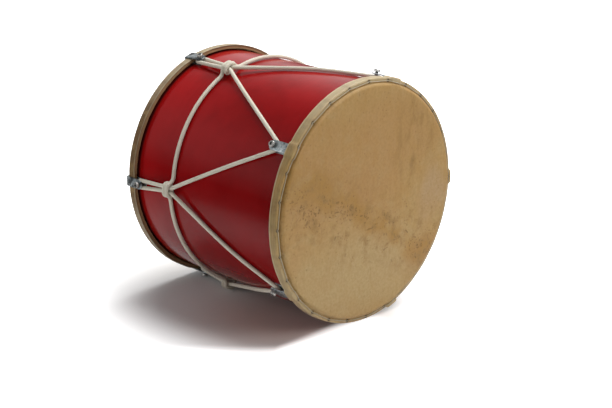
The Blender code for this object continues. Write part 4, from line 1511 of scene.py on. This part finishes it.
def build_floor(colours):
    """Pale floor, white outside the shadow, with painted red bounce light close under the shell."""
    object_mode()
    bpy.ops.mesh.primitive_plane_add(size=FLOOR_WIDTH, location=(0, 0, -FLOOR_DROP))
    bpy.ops.object.transform_apply(location=True, rotation=True, scale=True)
    floor = bpy.context.object
    floor.name = "studio_floor"
    material, shader, place = new_finish("floor_paper", {
        "Roughness": 0.9, "Specular IOR Level": 0.1, "Emission Color": (1, 1, 1, 1)})
    where = place["Object"]
    rays = material.node_tree.nodes.new('ShaderNodeLightPath').outputs
    away = vector_calc('LENGTH', vector_calc(
        'MULTIPLY_ADD', where, SHADOW_STRETCH, SHADOW_SHIFT))
    from_drum = vector_calc('DISTANCE', where, PAINTED_BOUNCE_MIDDLE)
    mirrored_far = times(rays["Is Glossy Ray"], ramp(away, 0.45, 1.0))
    join(shader, emission_strength=floor_white(where, away, rays),
         base_color=layered(colours.floor,
                            # Painted red bounce light under the shell
                            (colours.floor_painted_bounce, ramp(from_drum, 0.19, 0.03)),
                            (FAR_FLOOR, mirrored_far)))
    floor.data.materials.append(material)


def light_room(stage):
    """White background for what sees it, and an even pale light from all sides."""
    world = bpy.context.scene.world or bpy.data.worlds.new("room")
    bpy.context.scene.world = world
    world.use_nodes = True
    tree = world.node_tree
    tree.nodes.clear()
    rays = tree.nodes.new('ShaderNodeLightPath').outputs
    up = parts_of(tree.nodes.new('ShaderNodeTexCoord').outputs["Generated"])[2]
    mirrored = times(rays["Is Glossy Ray"], ramp(up, 0.88, 0.35),
                     ramp(up, 0.02, 0.30, 0.2, 1.2))
    shown = larger(rays["Is Camera Ray"], mirrored, rays["Is Transmission Ray"])
    room, white = [put('ShaderNodeBackground', {0: (1, 1, 1, 1), 1: strength}, tree)
                   for strength in (stage.room_light, 1)]
    both = put('ShaderNodeMixShader', {0: shown, 1: room.outputs[0], 2: white.outputs[0]})
    put('ShaderNodeOutputWorld', {0: both.outputs[0]})


# Operators, panel and registration


class DRUM_OT_camera(bpy.types.Operator):
    """Place the camera at the photograph's viewing angle"""
    bl_idname = "drum.camera"
    bl_label = "Camera"
    bl_options = {'REGISTER', 'UNDO'}

    def execute(self, context):
        place_camera(context.scene.drum_stage)
        return {'FINISHED'}


class DRUM_OT_tension_rope(bpy.types.Operator):
    """Lay the tension rope over the front bolts, through the hitches and round the rear bolts"""
    bl_idname = "drum.tension_rope"
    bl_label = "Tension rope"
    bl_options = {'REGISTER', 'UNDO'}

    def execute(self, context):
        build_ropes(context.scene.drum_sizes, context.scene.drum_colours)
        return {'FINISHED'}


class DRUM_OT_girdle(bpy.types.Operator):
    """Lay the girdle cord round the shell with its five hitches"""
    bl_idname = "drum.girdle"
    bl_label = "Girdle cord"
    bl_options = {'REGISTER', 'UNDO'}

    def execute(self, context):
        build_girdle(context.scene.drum_sizes, context.scene.drum_colours)
        return {'FINISHED'}


class DRUM_OT_shell(bpy.types.Operator):
    """Turn the lacquered shell"""
    bl_idname = "drum.shell"
    bl_label = "Shell"
    bl_options = {'REGISTER', 'UNDO'}

    def execute(self, context):
        build_shell(context.scene.drum_colours)
        return {'FINISHED'}


class DRUM_OT_wood(bpy.types.Operator):
    """Give the hoops and inner rings their bare wood"""
    bl_idname = "drum.wood"
    bl_label = "Hoops and rings"
    bl_options = {'REGISTER', 'UNDO'}

    def execute(self, context):
        paint_wood(context.scene.drum_colours)
        return {'FINISHED'}


class DRUM_OT_skins(bpy.types.Operator):
    """Build both rawhide heads with their laps, bulges and slits"""
    bl_idname = "drum.skins"
    bl_label = "Skins"
    bl_options = {'REGISTER', 'UNDO'}

    def execute(self, context):
        for end in END_SIGN:
            build_skin(end, context.scene.drum_sizes, context.scene.drum_colours)
        return {'FINISHED'}


class DRUM_OT_stitching(bpy.types.Operator):
    """Sew the lacing thread round both rims"""
    bl_idname = "drum.stitching"
    bl_label = "Stitching"
    bl_options = {'REGISTER', 'UNDO'}

    def execute(self, context):
        for end in END_SIGN:
            build_stitching(end, context.scene.drum_sizes, context.scene.drum_colours)
        return {'FINISHED'}


class DRUM_OT_hooks(bpy.types.Operator):
    """Bend and drill the steel hooks of both ends"""
    bl_idname = "drum.hooks"
    bl_label = "Hooks"
    bl_options = {'REGISTER', 'UNDO'}

    def execute(self, context):
        finish = zinc_finish(context.scene.drum_colours)
        for end in END_SIGN:
            strap = build_hook(end, context.scene.drum_sizes)
            set_round(strap, end, "hook", 0, finish, "zinc_strap")
        return {'FINISHED'}


class DRUM_OT_bolts(bpy.types.Operator):
    """Turn the bolts and set them in the hooks"""
    bl_idname = "drum.bolts"
    bl_label = "Bolts"
    bl_options = {'REGISTER', 'UNDO'}

    def execute(self, context):
        finish = bolt_finish(context.scene.drum_colours)
        for end in END_SIGN:
            bolt = build_bolt(end, context.scene.drum_sizes)
            set_round(bolt, end, "bolt", BOLT_SPIN, finish, "bolt_steel")
        return {'FINISHED'}


class DRUM_OT_stage(bpy.types.Operator):
    """Lay the floor and set up the soft studio light"""
    bl_idname = "drum.stage"
    bl_label = "Floor and light"
    bl_options = {'REGISTER', 'UNDO'}

    def execute(self, context):
        stage = context.scene.drum_stage
        build_floor(context.scene.drum_colours)
        for name, place, target, width in LIGHTS:
            area_light(name + "_light", place, target, width, getattr(stage, name + "_power"))
        light_room(stage)
        context.scene.view_settings.view_transform = 'Standard'
        return {'FINISHED'}


class DRUM_PT_panel(bpy.types.Panel):
    """Panel that lists the drum's pieces"""
    bl_idname = "DRUM_PT_panel"
    bl_label = "Drum"
    bl_space_type = 'VIEW_3D'
    bl_region_type = 'UI'
    bl_category = "Drum"

    def draw(self, context):
        for operator in OPERATORS:
            self.layout.operator(operator.bl_idname)
        for name in SETTINGS:
            group = getattr(context.scene, name)
            for label in group.__annotations__:
                self.layout.prop(group, label)


SETTINGS = {"drum_sizes": DrumSizes, "drum_colours": DrumColours, "drum_stage": DrumStage}
OPERATORS = (DRUM_OT_camera, DRUM_OT_tension_rope, DRUM_OT_girdle, DRUM_OT_shell,
             DRUM_OT_wood, DRUM_OT_skins, DRUM_OT_stitching, DRUM_OT_hooks, DRUM_OT_bolts,
             DRUM_OT_stage)


def register():
    """Register the settings, operators and panel."""
    for name, group in SETTINGS.items():
        bpy.utils.register_class(group)
        setattr(bpy.types.Scene, name, bpy.props.PointerProperty(type=group))
    for operator in OPERATORS:
        bpy.utils.register_class(operator)
    bpy.utils.register_class(DRUM_PT_panel)


def unregister():
    """Remove the panel, operators and settings."""
    bpy.utils.unregister_class(DRUM_PT_panel)
    for operator in reversed(OPERATORS):
        bpy.utils.unregister_class(operator)
    for name, group in SETTINGS.items():
        delattr(bpy.types.Scene, name)
        bpy.utils.unregister_class(group)


def main():
    """Build the whole drum on its stage."""
    register()
    bpy.ops.drum.camera()
    bpy.ops.drum.tension_rope()
    bpy.ops.drum.girdle()
    bpy.ops.drum.shell()
    bpy.ops.drum.wood()
    bpy.ops.drum.skins()
    bpy.ops.drum.stitching()
    bpy.ops.drum.hooks()
    bpy.ops.drum.bolts()
    bpy.ops.drum.stage()
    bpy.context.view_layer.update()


if __name__ == "__main__":
    main()
